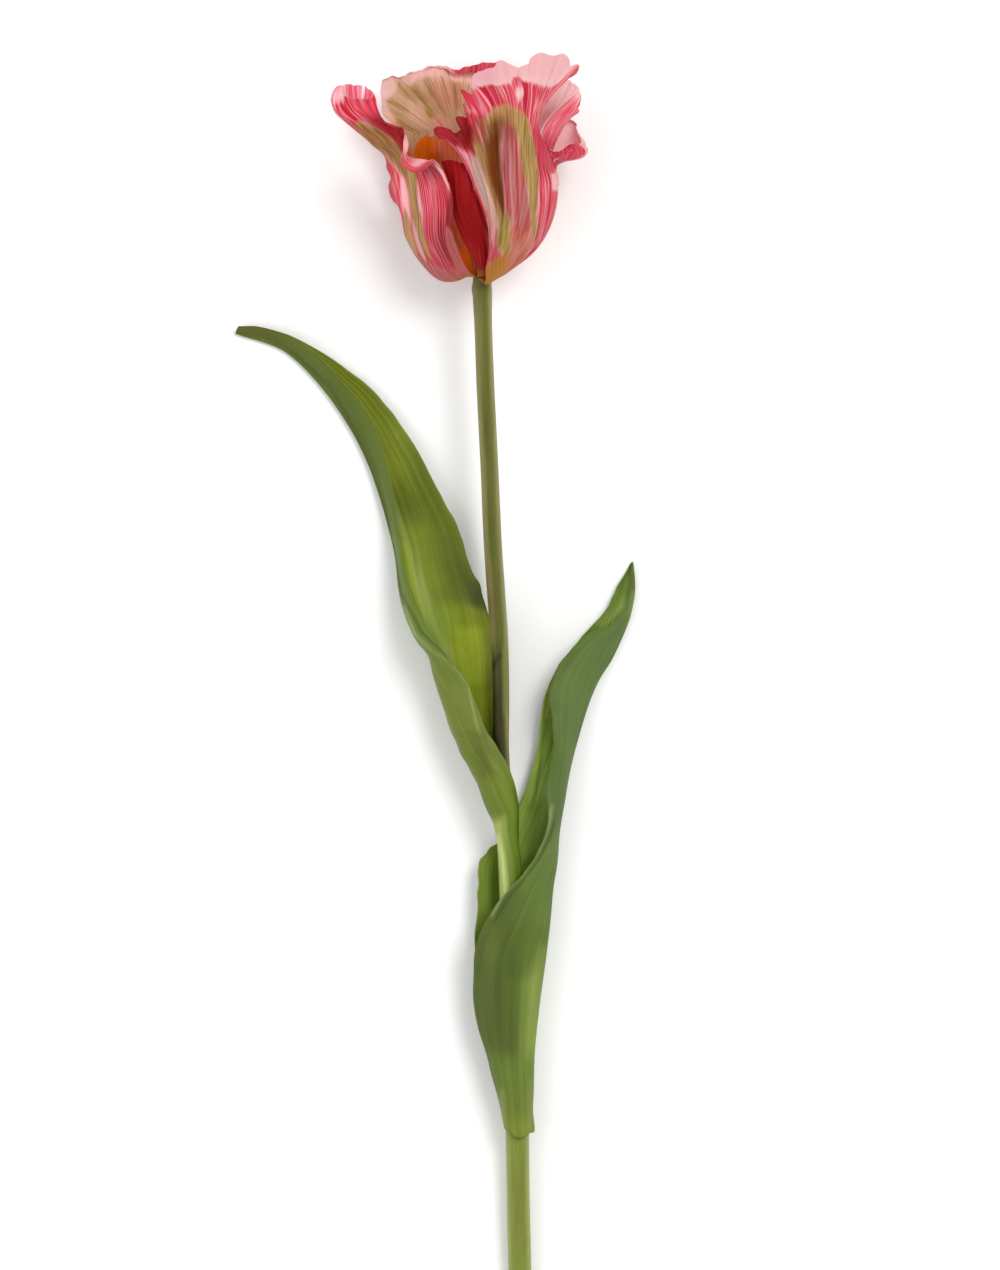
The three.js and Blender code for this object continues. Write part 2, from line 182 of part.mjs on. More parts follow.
const TEPAL_INNER_BACK = [
  [[15.22, 155.42, 24.96], [15.86, 155.45, 24.26], [16.65, 155.47, 23.76], [17.54, 155.48, 23.47], [18.48, 155.48, 23.43], [19.4, 155.48, 23.64], [20.23, 155.46, 24.07]],
  [[9.43, 159.69, 22.61], [10.75, 159.4, 20.59], [12.27, 159.48, 18.79], [13.97, 159.52, 17.79], [15.87, 159.53, 17.39], [17.77, 159.91, 17.41], [19.68, 160.28, 17.82]],
  [[-1.99, 168.58, 19.1], [1.02, 168.41, 14.58], [4.43, 168.55, 11.38], [8.23, 168.64, 9.38], [12.04, 169.06, 8.4], [16.61, 169.46, 8.02], [20.81, 169.81, 8.83]],
  [[-9.97, 181.14, 18.76], [-5.84, 181.04, 13.15], [-0.93, 181.25, 8.75], [4.78, 181.76, 6.16], [10.5, 181.81, 4.96], [16.22, 182.2, 4.78], [21.57, 182.54, 5.8]],
  [[-13.76, 194.02, 19.74], [-8.89, 193.99, 12.93], [-2.84, 194.66, 7.54], [3.63, 194.8, 4.74], [10.11, 195.25, 3.56], [16.6, 195.26, 3.36], [22.33, 195.57, 4.78]],
  [[-14.09, 207.06, 24.34], [-9.61, 206.7, 17.31], [-3.58, 207.45, 10.73], [2.87, 208.05, 6.74], [9.73, 208.15, 4.94], [16.61, 208.55, 4.76], [23.1, 208.84, 6.38]],
  [[-18.97, 217.83, 28.34], [-13.37, 219, 21.37], [-6.21, 220.19, 14.31], [1.37, 221.24, 9.54], [9.36, 222.14, 7.18], [16.99, 222.52, 7.19], [23.86, 222.41, 8.99]],
  [[-20.06, 228.22, 31.82], [-13.33, 230.56, 24.9], [-5.8, 232.9, 17.99], [1.77, 235.12, 12.97], [8.99, 235.69, 9.99], [16.62, 236.85, 9.84], [23.48, 237.1, 11.86]],
  [[-19.67, 230.05, 32.9], [-12.94, 231.63, 25.85], [-5.79, 233.97, 18.94], [1.78, 235.98, 14.42], [9.39, 234.35, 13.14], [17.01, 233.89, 14.32], [23.1, 234.13, 16.54]],
];
// ---- surfaces -----------------------------------------------------------
const lerp3 = (a, b, s) => [a[0] + (b[0] - a[0]) * s, a[1] + (b[1] - a[1]) * s, a[2] + (b[2] - a[2]) * s];

function spline(points, t) {
  const n = points.length;
  const i = Math.min(Math.floor(t), n - 2), f = t - i;
  const p1 = points[i], p2 = points[i + 1];
  const p0 = i > 0 ? points[i - 1] : lerp3(p2, p1, 2);
  const p3 = i < n - 2 ? points[i + 2] : lerp3(p1, p2, 2);
  return [0, 1, 2].map((k) => 0.5 * (2 * p1[k] + (p2[k] - p0[k]) * f
    + (2 * p0[k] - 5 * p1[k] + 4 * p2[k] - p3[k]) * f * f
    + (3 * p1[k] - p0[k] - 3 * p2[k] + p3[k]) * f * f * f));
}

// Points of the mid surface: (rows - 1) * ku steps along, (cols - 1) * kv across.
function sample(net, ku, kv) {
  const nu = (net.length - 1) * ku, nv = (net[0].length - 1) * kv;
  const grid = [];
  for (let a = 0; a <= nu; a++) {
    const row = [];
    for (let b = 0; b <= nv; b++) row.push(spline(net.map((r) => spline(r, b / kv)), a / ku));
    grid.push(row);
  }
  return grid;
}

const sub = (a, b) => [a[0] - b[0], a[1] - b[1], a[2] - b[2]];
const cross = (a, b) => [a[1] * b[2] - a[2] * b[1], a[2] * b[0] - a[0] * b[2], a[0] * b[1] - a[1] * b[0]];
const unit = (a) => { const l = Math.hypot(...a) || 1; return [a[0] / l, a[1] / l, a[2] / l]; };

// One closed sheet: two skins either side of the mid surface and a rim.
function sheet(net, ku, kv, mid, edge, teeth = 0) {
  const g = sample(net, ku, kv);
  const nu = g.length - 1, nv = g[0].length - 1;
  if (teeth > 0) {
    for (let b = 1; b < nv; b++) {
      const d = unit(sub(g[nu][b], g[nu - 1][b]));
      const s = (b % 2 ? 1 : -0.7) * teeth;
      g[nu][b] = [g[nu][b][0] + d[0] * s, g[nu][b][1] + d[1] * s, g[nu][b][2] + d[2] * s];
    }
  }
  const pos = [], at = (side, a, b) => side * (nu + 1) * (nv + 1) + a * (nv + 1) + b;
  for (const side of [1, -1]) {
    for (let a = 0; a <= nu; a++) {
      for (let b = 0; b <= nv; b++) {
        const du = sub(g[Math.min(a + 1, nu)][b], g[Math.max(a - 1, 0)][b]);
        const dv = sub(g[a][Math.min(b + 1, nv)], g[a][Math.max(b - 1, 0)]);
        const n = unit(cross(du, dv));
        const across = Math.min(b, nv - b) / (nv / 2), end = Math.min(1, (nu - a) / 3);
        const t = (edge + (mid - edge) * Math.sqrt(Math.min(across, end))) / 2;
        const p = g[a][b];
        pos.push(p[0] + n[0] * t * side, p[1] + n[1] * t * side, p[2] + n[2] * t * side);
      }
    }
  }
  const idx = [], quad = (p, q, r, s) => idx.push(p, q, r, p, r, s);
  for (let a = 0; a < nu; a++) {
    for (let b = 0; b < nv; b++) {
      quad(at(0, a, b), at(0, a + 1, b), at(0, a + 1, b + 1), at(0, a, b + 1));
      quad(at(1, a, b), at(1, a, b + 1), at(1, a + 1, b + 1), at(1, a + 1, b));
    }
    quad(at(0, a, 0), at(1, a, 0), at(1, a + 1, 0), at(0, a + 1, 0));
    quad(at(0, a, nv), at(0, a + 1, nv), at(1, a + 1, nv), at(1, a, nv));
  }
  for (let b = 0; b < nv; b++) {
    quad(at(0, 0, b), at(0, 0, b + 1), at(1, 0, b + 1), at(1, 0, b));
    quad(at(0, nu, b), at(1, nu, b), at(1, nu, b + 1), at(0, nu, b + 1));
  }
  return solid(pos, idx);
}

// One closed stalk: rings square to +Y, each [x, y, z, radius], capped at both ends.
function stalk(rings, sides, shape = () => 1) {
  const pos = [], idx = [];
  rings.forEach(([x, y, z, r], k) => {
    for (let i = 0; i < sides; i++) {
      const w = (2 * Math.PI * i) / sides, q = r * shape(w, k / (rings.length - 1));
      pos.push(x + q * Math.cos(w), y, z + q * Math.sin(w));
    }
  });
  const n = rings.length, c0 = n * sides, c1 = c0 + 1;
  pos.push(...rings[0].slice(0, 3), ...rings[n - 1].slice(0, 3));
  for (let k = 0; k < n - 1; k++) {
    for (let i = 0; i < sides; i++) {
      const j = (i + 1) % sides, a = k * sides + i, b = k * sides + j;
      idx.push(a, b, b + sides, a, b + sides, a + sides);
    }
  }
  for (let i = 0; i < sides; i++) {
    const j = (i + 1) % sides;
    idx.push(c0, j, i, c1, (n - 1) * sides + i, (n - 1) * sides + j);
  }
  return solid(pos, idx);
}

// Indexed geometry whose faces point out.
function solid(pos, idx) {
  let v = 0;
  for (let k = 0; k < idx.length; k += 3) {
    const [a, b, c] = [idx[k], idx[k + 1], idx[k + 2]].map((m) => pos.slice(3 * m, 3 * m + 3));
    const n = cross(b, c);
    v += a[0] * n[0] + a[1] * n[1] + a[2] * n[2];
  }
  if (v < 0) for (let k = 0; k < idx.length; k += 3) [idx[k + 1], idx[k + 2]] = [idx[k + 2], idx[k + 1]];
  const g = new THREE.BufferGeometry();
  g.setAttribute('position', new THREE.Float32BufferAttribute(pos, 3));
  g.setIndex(idx);
  g.computeVertexNormals();
  return g;
}

const flower = new THREE.Group();
flower.name = 'parrot_tulip';
function add(name, geometry, slot) {
  const mesh = new THREE.Mesh(geometry, material[slot]);
  mesh.name = name;
  flower.add(mesh);
}

// ---- stem and leaves ----------------------------------------------------
add('stem', stalk(STEM, STEM_SIDES), 'stem_green');
add('leaf_upper', sheet(LEAF_UPPER, 1, 2, LEAF_MID, LEAF_EDGE), 'leaf_green');
add('leaf_lower', sheet(LEAF_LOWER, 1, 2, LEAF_MID, LEAF_EDGE), 'leaf_dark');

// ---- tepals -------------------------------------------------------------
add('tepal_outer_front', sheet(TEPAL_OUTER_FRONT, 1, 2, TEPAL_MID, TEPAL_EDGE, 1.6), 'tepal_crimson');
add('tepal_outer_left', sheet(TEPAL_OUTER_LEFT, 1, 2, TEPAL_MID, TEPAL_EDGE), 'tepal_crimson');
add('tepal_outer_right', sheet(TEPAL_OUTER_RIGHT, 1, 2, TEPAL_MID, TEPAL_EDGE, 1.4), 'tepal_crimson');
add('tepal_inner_front', sheet(TEPAL_INNER_FRONT, 1, 2, TEPAL_MID, TEPAL_EDGE, 1.4), 'tepal_crimson');
add('tepal_inner_right', sheet(TEPAL_INNER_RIGHT, 1, 2, TEPAL_MID, TEPAL_EDGE, 1.4), 'tepal_crimson');
add('tepal_inner_back', sheet(TEPAL_INNER_BACK, 1, 2, TEPAL_MID, TEPAL_EDGE, 1.4), 'tepal_pink');

// ---- pistil and stamens -------------------------------------------------
const onAxis = (s, dx = 0, dz = 0) => [AXIS_X + dx, AXIS_Y + s, AXIS_Z + s * AXIS_RISE + dz];
const ovary = [[0.0, 0.6], [2.5, 0.66], [7, 0.9], [13, 1.0], [19, 0.88], [OVARY_LEN - 2.5, 0.7]]
  .map(([s, f]) => [...onAxis(s), OVARY_R * f]);
const stigma = [[OVARY_LEN - 1.5, 0.72], [OVARY_LEN, 1.0], [OVARY_LEN + 1.6, 0.98], [OVARY_LEN + 2.6, 0.55]]
  .map(([s, f]) => [...onAxis(s), STIGMA_R * f]);
add('pistil', stalk([...ovary, ...stigma], 18,
  (w, s) => 1 + (s > 0.6 ? 0.2 : 0.07) * Math.cos(3 * w)), 'pistil_green');

for (let k = 0; k < STAMENS; k++) {
  const a = ((k + 0.5) * 2 * Math.PI) / STAMENS;
  const spread = (s) => 3.6 + 4.2 * Math.pow(s / FILAMENT_LEN, 0.9);
  const p = (s) => onAxis(s, spread(s) * Math.cos(a), spread(s) * Math.sin(a));
  const f = [[0.2, 0.9], [4, 1.25], [9, 1.0], [14, 0.7], [FILAMENT_LEN, 0.45]]
    .map(([s, r]) => [...p(s), FILAMENT_R * r]);
  add(`filament_${k + 1}`, stalk(f, 6), 'filament_cream');
  const s0 = FILAMENT_LEN + 0.4;
  const t = [[0, 0.35], [0.08, 0.8], [0.3, 1], [0.7, 0.95], [0.93, 0.7], [1, 0.3]]
    .map(([q, r]) => [...p(s0 + q * ANTHER_LEN), ANTHER_R * r]);
  add(`anther_${k + 1}`, stalk(t, 8, (w) => 0.86 + 0.14 * Math.cos(2 * (w - a - Math.PI / 2))), 'anther_dark');
}

export default flower;
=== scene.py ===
"""A cut parrot tulip lying on a pale surface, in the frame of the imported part. Lengths in millimetres until a mesh is made, then metres."""
import math

import bpy
import numpy as np
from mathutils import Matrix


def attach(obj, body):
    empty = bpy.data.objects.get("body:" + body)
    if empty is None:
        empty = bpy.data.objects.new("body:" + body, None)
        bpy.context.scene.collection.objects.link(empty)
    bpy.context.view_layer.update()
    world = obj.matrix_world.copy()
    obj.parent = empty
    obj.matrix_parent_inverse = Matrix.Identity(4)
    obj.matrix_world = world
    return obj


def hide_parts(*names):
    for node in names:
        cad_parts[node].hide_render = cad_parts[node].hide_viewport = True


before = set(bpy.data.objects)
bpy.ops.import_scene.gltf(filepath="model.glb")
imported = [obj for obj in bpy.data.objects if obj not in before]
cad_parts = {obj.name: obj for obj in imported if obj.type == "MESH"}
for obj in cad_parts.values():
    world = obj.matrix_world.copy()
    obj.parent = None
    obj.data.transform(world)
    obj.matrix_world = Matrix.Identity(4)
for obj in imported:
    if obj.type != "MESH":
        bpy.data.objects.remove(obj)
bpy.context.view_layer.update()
FINE = 1.0
rng = np.random.default_rng(7)

# ---------------------------------------------------------------- control nets, mm: rows base to tip, columns across
NETS = {
    "TEPAL_OUTER_FRONT": [
        [(16.2, 154.6, 31.25), (17.07, 154.58, 31.56), (17.98, 154.58, 31.69), (18.9, 154.58, 31.63), (19.8, 154.59, 31.4), (20.63, 154.61, 31), (21.36, 154.63, 30.44), (21.97, 154.66, 29.75), (22.44, 154.69, 28.95), (22.74, 154.73, 28.07), (22.86, 154.76, 27.15)],
        [(18.57, 152.89, 36.12), (19.14, 152.51, 36.91), (19.82, 152.65, 37.31), (20.84, 153.3, 37.14), (22.35, 154.18, 36.78), (23.67, 154.97, 35.92), (24.81, 155.58, 34.94), (25.75, 156.19, 33.97), (26.51, 156.6, 33.09), (27.46, 157.26, 30.91), (27.84, 157.74, 28.53)],
        [(18.96, 158.05, 43.67), (19.52, 158.79, 44.21), (20.28, 159.53, 44.54), (21.6, 160.31, 43.77), (24.24, 161.05, 44.11), (26.88, 161.48, 42.93), (29.15, 161.94, 41.04), (31.04, 162.02, 39.14), (32.56, 162.47, 37.56), (34.84, 163.21, 33.39), (35.91, 163.6, 28.79)],
        [(20.1, 164.59, 49.38), (20.66, 165.48, 50.62), (21.61, 167.13, 51.6), (23.49, 168.35, 49.65), (26.5, 169.41, 51.2), (29.89, 169.84, 49.92), (32.91, 169.96, 47.32), (35.18, 169.69, 44.9), (36.69, 169.41, 42.88), (39.93, 169.69, 36.68), (41.21, 170, 29.88)],
        [(19.54, 173.49, 52.49), (20.48, 175.1, 54.17), (21.61, 176.91, 55.75), (23.86, 178.77, 52.13), (28, 179.76, 55.18), (32.14, 180.19, 54), (35.54, 179.97, 50.78), (37.42, 179.68, 48.96), (38.56, 179.38, 47.35), (43.12, 179.34, 40.33), (45.14, 179.33, 32.71)],
        [(16.72, 182.06, 54.28), (18.41, 185.33, 56.44), (20.11, 187.84, 58.76), (23.11, 190.36, 53.66), (28, 191.65, 57.73), (32.51, 191.71, 56.73), (35.9, 191.11, 53.69), (37.79, 190.45, 51.96), (38.74, 189.77, 50.52), (44.05, 189.75, 43.61), (46.36, 189.74, 36.39)],
        [(11.83, 193.3, 55), (14.47, 196.57, 57.15), (17.48, 199.41, 60.09), (21.61, 202.31, 55.21), (27.62, 203.95, 59.49), (32.13, 203.62, 58.67), (35.52, 202.63, 56.22), (37.21, 201.6, 54.57), (37.78, 200.53, 53.52), (41.76, 198.51, 49.02), (45.37, 196.15, 43.9)],
        [(5.43, 202.02, 53.79), (11.09, 205.62, 56.56), (14.11, 210.24, 61.08), (19.36, 214.14, 58.75), (26.87, 217.7, 61.92), (32.5, 217.7, 61.92), (37, 217.42, 60.41), (39.26, 217.51, 58.91), (39.83, 217.2, 57.79), (40.03, 215.77, 56.62), (40.03, 213.96, 55.34)],
        [(-0.23, 208.95, 51), (7.69, 213.68, 53.72), (9.98, 221.91, 60.61), (14.86, 229.98, 63.49), (23.87, 233.56, 66.16), (32.86, 234.31, 66.19), (41.86, 236.99, 65.31), (48.25, 236.78, 62.8), (53.16, 232.51, 59.19), (53.92, 231.47, 57.94), (53.36, 230.03, 56.87)],
    ],
    "TEPAL_INNER_FRONT": [
        [(14.8, 155.29, 28.25), (15.45, 155.24, 29.36), (16.44, 155.21, 30.17), (17.65, 155.19, 30.58), (18.93, 155.19, 30.54)],
        [(15.54, 156.88, 35.6), (16.68, 156.46, 36.49), (18.19, 156.45, 36.89), (19.7, 156.83, 36.7), (21.21, 157.24, 35.92)],
        [(13.67, 162.63, 42.58), (15.75, 162.96, 43.59), (18.2, 163.33, 43.81), (21.22, 163.73, 43.23), (24.24, 164.18, 41.64)],
        [(9.54, 169.94, 47.72), (12.56, 170.27, 48.74), (16.33, 170.65, 48.75), (20.47, 171.08, 47.57), (24.62, 171.56, 45.39)],
        [(6.35, 180, 50.18), (9.56, 180.31, 51.6), (13.7, 180.67, 51.81), (18.22, 181.12, 50.43), (22.36, 181.61, 48.05)],
        [(4.66, 189.4, 50.41), (7.87, 189.66, 52.62), (12.2, 190.02, 53.04), (17.09, 190.85, 51.48), (21.6, 191.75, 48.71)],
        [(2.2, 197.82, 47.98), (5.98, 198.05, 50.6), (11.07, 196.86, 51.75), (15.96, 201.41, 51.15), (20.85, 204.18, 48.67)],
    ],
    "TEPAL_OUTER_LEFT": [
        [(14.53, 155.4, 23.73), (13.85, 155.36, 24.71), (13.42, 155.31, 25.82), (13.28, 155.26, 27.01), (13.43, 155.21, 28.2), (13.86, 155.17, 29.31), (14.55, 155.13, 30.29), (15.45, 155.1, 31.07)],
        [(4.45, 154.69, 14.97), (2.97, 153.5, 20.92), (3.57, 153.07, 26.91), (5.69, 153.33, 31.74), (7.97, 154.18, 34.98), (10.25, 155.31, 37.03), (12.15, 156.39, 38.29), (12.71, 156.68, 38.5)],
        [(-3.96, 161.74, 10.27), (-5.41, 160.62, 18.74), (-2.67, 160.22, 28.24), (0.79, 160.65, 35.77), (3.85, 161.58, 40.53), (6.5, 162.59, 43.38), (8.4, 163.67, 44.63), (8.78, 163.88, 44.94)],
        [(-10.44, 170.87, 10.68), (-11.47, 169.66, 20.65), (-7.55, 169.07, 33.65), (-3.7, 169.08, 41.87), (0.49, 169.61, 46.7), (3.9, 170.63, 49.15), (5.79, 171.35, 49.99), (6.16, 171.72, 50.1)],
        [(-13.84, 182.18, 13.2), (-13.33, 179.72, 24.61), (-8.45, 179.45, 38.13), (-4.41, 179.44, 46.15), (0.15, 179.92, 51.78), (4.12, 180.93, 54.23), (6, 181.3, 54.25), (6.37, 181.53, 53.46)],
        [(-17.61, 188.48, 16.49), (-15, 187.52, 27.97), (-9.36, 187.59, 41.51), (-5.52, 187.58, 49.12), (-0.96, 188.06, 54.56), (3.2, 189.06, 57.01), (5.26, 189.46, 56.62), (5.82, 189.88, 55.64)],
        [(-18.31, 193.97, 20.74), (-16.66, 193.39, 31.74), (-10.28, 193.51, 43.78), (-6.83, 193.75, 50), (-3.21, 194.07, 54.63), (-0.19, 194.69, 57.06), (2.07, 195.05, 57.48), (2.64, 194.67, 57.46)],
        [(-19.4, 199.08, 24.48), (-18.14, 198.17, 34.47), (-11.59, 198.34, 45.3), (-8.52, 198.27, 50.01), (-5.86, 198.27, 53.42), (-3.76, 198.51, 56.04), (-2.25, 198.79, 57.85), (-2.61, 197.38, 59.59)],
        [(-20.88, 202.7, 27.65), (-19.62, 201.83, 36.64), (-13.46, 201.31, 46.14), (-11.54, 200.19, 49.4), (-10.01, 199.3, 51.86), (-8.67, 198.79, 54.24), (-7.33, 198.49, 56.44), (-7.68, 194.58, 59.26)],
        [(-24.05, 204.81, 30.76), (-22.81, 203.98, 38.74), (-16.09, 204.29, 46.77), (-14.37, 203.22, 49.03), (-12.85, 202.18, 50.79), (-11.32, 201.14, 52.55), (-9.79, 200.1, 54.5), (-11.64, 196.55, 57.55)],
        [(-27.23, 207.47, 33.89), (-25.98, 206.7, 40.87), (-19.1, 207.64, 47.43), (-16.82, 207.17, 49.11), (-14.36, 206.72, 50.39), (-11.89, 205.89, 51.76), (-9.62, 205.05, 53.33), (-11.28, 203.03, 55.84)],
        [(-30.58, 210.13, 37.01), (-29.35, 209.41, 43), (-22.86, 210.99, 48.18), (-20.2, 210.91, 49.58), (-17.18, 210.49, 50.37), (-13.97, 210.07, 51.15), (-10.76, 209.26, 52.11), (-10.37, 208.04, 53.66)],
        [(-34.31, 213.35, 40.17), (-33.09, 212.68, 45.15), (-26.61, 214.69, 49.35), (-24.52, 214.44, 50.34), (-22.26, 213.85, 50.92), (-20.18, 213.08, 51.08), (-18.11, 211.96, 51.03), (-17.54, 211.56, 51.42)],
        [(-38.4, 217.12, 43.35), (-37.18, 216.48, 47.83), (-30.32, 218.27, 52.52), (-27.86, 218.21, 53.52), (-25.41, 218, 53.92), (-23.35, 217.27, 53.38), (-21.67, 216.39, 52.44), (-21.11, 216.03, 52.22)],
        [(-39.65, 221.61, 47.06), (-38.43, 221.34, 51.56), (-32.51, 222.71, 56.74), (-29.67, 222.65, 57.74), (-27.23, 222.46, 57.73), (-24.99, 221.96, 56.7), (-22.95, 221.12, 55.06), (-22.21, 220.6, 54.44)],
        [(-37.9, 225.4, 49.74), (-36.12, 226.06, 54.28), (-32.48, 226.16, 58.7), (-30.02, 225.72, 59.68), (-27.77, 225.91, 59.59), (-25.91, 225.42, 58.47), (-24.05, 224.22, 56.61), (-23.13, 223.35, 55.56)],
        [(-35.97, 222.4, 52.61), (-34.37, 222.09, 57.71), (-32.04, 221.07, 62.08), (-29.77, 220.63, 63.06), (-27.72, 220.84, 62.67), (-26.05, 220.76, 61.06), (-24.77, 220.52, 58.84), (-24.04, 220.23, 57.43)],
    ],
    "TEPAL_INNER_BACK": [
        [(15.22, 155.42, 24.96), (15.86, 155.45, 24.26), (16.65, 155.47, 23.76), (17.54, 155.48, 23.47), (18.48, 155.48, 23.43), (19.4, 155.48, 23.64), (20.23, 155.46, 24.07)],
        [(9.43, 159.69, 22.61), (10.75, 159.4, 20.59), (12.27, 159.48, 18.79), (13.97, 159.52, 17.79), (15.87, 159.53, 17.39), (17.77, 159.91, 17.41), (19.68, 160.28, 17.82)],
        [(-1.99, 168.58, 19.1), (1.02, 168.41, 14.58), (4.43, 168.55, 11.38), (8.23, 168.64, 9.38), (12.04, 169.06, 8.4), (16.61, 169.46, 8.02), (20.81, 169.81, 8.83)],
        [(-9.97, 181.14, 18.76), (-5.84, 181.04, 13.15), (-0.93, 181.25, 8.75), (4.78, 181.76, 6.16), (10.5, 181.81, 4.96), (16.22, 182.2, 4.78), (21.57, 182.54, 5.8)],
        [(-13.76, 194.02, 19.74), (-8.89, 193.99, 12.93), (-2.84, 194.66, 7.54), (3.63, 194.8, 4.74), (10.11, 195.25, 3.56), (16.6, 195.26, 3.36), (22.33, 195.57, 4.78)],
        [(-14.09, 207.06, 24.34), (-9.61, 206.7, 17.31), (-3.58, 207.45, 10.73), (2.87, 208.05, 6.74), (9.73, 208.15, 4.94), (16.61, 208.55, 4.76), (23.1, 208.84, 6.38)],
        [(-18.97, 217.83, 28.34), (-13.37, 219, 21.37), (-6.21, 220.19, 14.31), (1.37, 221.24, 9.54), (9.36, 222.14, 7.18), (16.99, 222.52, 7.19), (23.86, 222.41, 8.99)],
        [(-20.06, 228.22, 31.82), (-13.33, 230.56, 24.9), (-5.8, 232.9, 17.99), (1.77, 235.12, 12.97), (8.99, 235.69, 9.99), (16.62, 236.85, 9.84), (23.48, 237.1, 11.86)],
        [(-19.67, 230.05, 32.9), (-12.94, 231.63, 25.85), (-5.79, 233.97, 18.94), (1.78, 235.98, 14.42), (9.39, 234.35, 13.14), (17.01, 233.89, 14.32), (23.1, 234.13, 16.54)],
    ],
    "TEPAL_INNER_RIGHT": [
        [(20.29, 155.22, 29.93), (21.14, 155.25, 29.05), (21.65, 155.3, 27.94), (21.75, 155.35, 26.72), (21.44, 155.4, 25.53), (20.75, 155.44, 24.52)],
        [(23.1, 158.49, 33.17), (24.73, 158.98, 30.69), (25.3, 159.12, 27.19), (24.73, 158.89, 23.67), (23.21, 158.62, 21.15), (21.96, 158.67, 19.95)],
        [(29.53, 167.18, 41.98), (34.07, 167.81, 36.4), (35.61, 168.15, 28.8), (34.5, 168.12, 20.98), (31.47, 167.96, 16.16), (27.29, 167.71, 13.15)],
        [(34.04, 179.43, 46.35), (38.22, 180.12, 39.96), (40.34, 180.56, 30.76), (39.43, 180.62, 21.75), (36.04, 180.63, 13.73), (31.1, 180.89, 8.33)],
        [(35.73, 190.62, 48.66), (39.72, 191.34, 42.08), (41.84, 191.82, 32.88), (40.75, 192.3, 23.48), (37.18, 192.73, 15.28), (31.86, 193.01, 9.88)],
        [(37.79, 201.43, 50.75), (41.78, 202.17, 44.17), (43.91, 203.05, 35.19), (42.45, 204.3, 26.22), (38.69, 205.47, 18.86), (33.38, 206.15, 13.47)],
        [(41.55, 210.77, 51.98), (45.55, 210.41, 45.15), (48.07, 211.7, 35.98), (45.84, 214.77, 28.7), (41.71, 217.04, 22.39), (36.03, 218.5, 17.04)],
        [(47.21, 218.02, 50.31), (50.65, 216.55, 43.42), (52.8, 218.17, 35.27), (49.62, 222.65, 30.06), (44.73, 225.24, 24.96), (38.68, 226.72, 19.42)],
        [(53.28, 226.08, 44.86), (54.84, 222.83, 39.5), (55.46, 223.95, 33.53), (52.27, 228.29, 30.72), (47.38, 230.84, 26.42), (40.96, 232.71, 20.89)],
    ],
    "TEPAL_OUTER_RIGHT": [
        [(22.82, 154.8, 26.34), (22.45, 154.85, 25.05), (21.73, 154.89, 23.93), (20.72, 154.93, 23.05), (19.51, 154.95, 22.49), (18.19, 154.96, 22.29), (16.87, 154.95, 22.47)],
        [(25.42, 156.81, 27.99), (25.3, 156.91, 25.69), (24.43, 157.01, 23.19), (22.53, 157.1, 20.99), (19.95, 157.17, 19.39), (16.79, 157.19, 18.79), (13.64, 157.17, 19.29)],
        [(28.4, 160.7, 34.77), (30.45, 160.89, 30.17), (30.5, 161.13, 24.47), (27.81, 161.38, 18.57), (22.72, 161.56, 14.37), (15.94, 161.64, 12.57), (9.73, 161.6, 13.47)],
        [(33.42, 167.63, 40.5), (37.45, 167.95, 33.4), (38.17, 168.34, 24.6), (34.44, 168.75, 15.4), (26.76, 169.05, 8.7), (16.3, 169.18, 5.8), (7.07, 169.12, 7.1)],
        [(39.65, 177.81, 40.86), (43.05, 178.19, 32.86), (42.92, 178.68, 22.56), (38.14, 179.17, 12.36), (28.94, 179.53, 4.76), (16.56, 179.69, 1.46), (5.3, 179.62, 2.96)],
        [(41.11, 188.25, 43.34), (44.71, 188.75, 33.64), (44.59, 189.31, 22.64), (39.55, 189.86, 11.94), (29.74, 190.27, 3.84), (16.67, 190.45, 0.34), (4.72, 190.37, 1.94)],
        [(41.41, 196.53, 43.92), (45.09, 197.05, 34.12), (44.93, 197.65, 22.92), (39.86, 198.23, 12.12), (29.93, 198.67, 3.92), (16.67, 198.86, 0.32), (4.56, 198.77, 2.02)],
        [(41.96, 199.83, 45.67), (46.14, 198.94, 41.22), (52.63, 198.79, 33.49), (54.61, 202.95, 23.15), (42.54, 207.53, 9.33), (16.6, 208.76, 0.96), (3.99, 208.72, 1.76)],
        [(42.72, 202.13, 44.97), (46.89, 201.32, 42.53), (55.82, 200.9, 36.3), (57.63, 205.11, 25.26), (49.38, 215.33, 12.68), (18.13, 222.49, 1.38), (2.08, 221.72, 1.54)],
        [(43.1, 203.05, 45.41), (47.25, 202.75, 44), (53.32, 202.96, 40.2), (56.08, 207.4, 28.37), (51.26, 215.54, 15.7), (19.65, 227.82, 1.82), (2.84, 227.05, 1.78)],
    ],
    "LEAF_UPPER": [
        [(32.6, -103.55, 9.53), (33.3, -103.4, 13.55), (30.27, -103.3, 16.41), (26.07, -103.34, 15.28), (24.94, -103.49, 11.08), (27.66, -103.6, 8.12), (31.47, -103.59, 8.52)],
        [(32.14, -83.31, 10.71), (32.83, -83.19, 14.69), (29.84, -83.1, 17.52), (25.69, -83.13, 16.4), (24.57, -83.26, 12.25), (27.26, -83.35, 9.32), (31.03, -83.34, 9.72)],
        [(31.25, -66.9, 11.74), (31.92, -66.8, 15.58), (29.04, -66.73, 18.31), (25.03, -66.75, 17.23), (23.95, -66.86, 13.22), (26.55, -66.93, 10.4), (30.18, -66.92, 10.78)],
        [(31.28, -55.41, 14.3), (30.13, -56.09, 18.1), (27.09, -56.82, 19.4), (24.24, -57.61, 18.1), (23.02, -56.93, 14.6), (24.62, -55.85, 11.5), (28.05, -54.73, 10.8)],
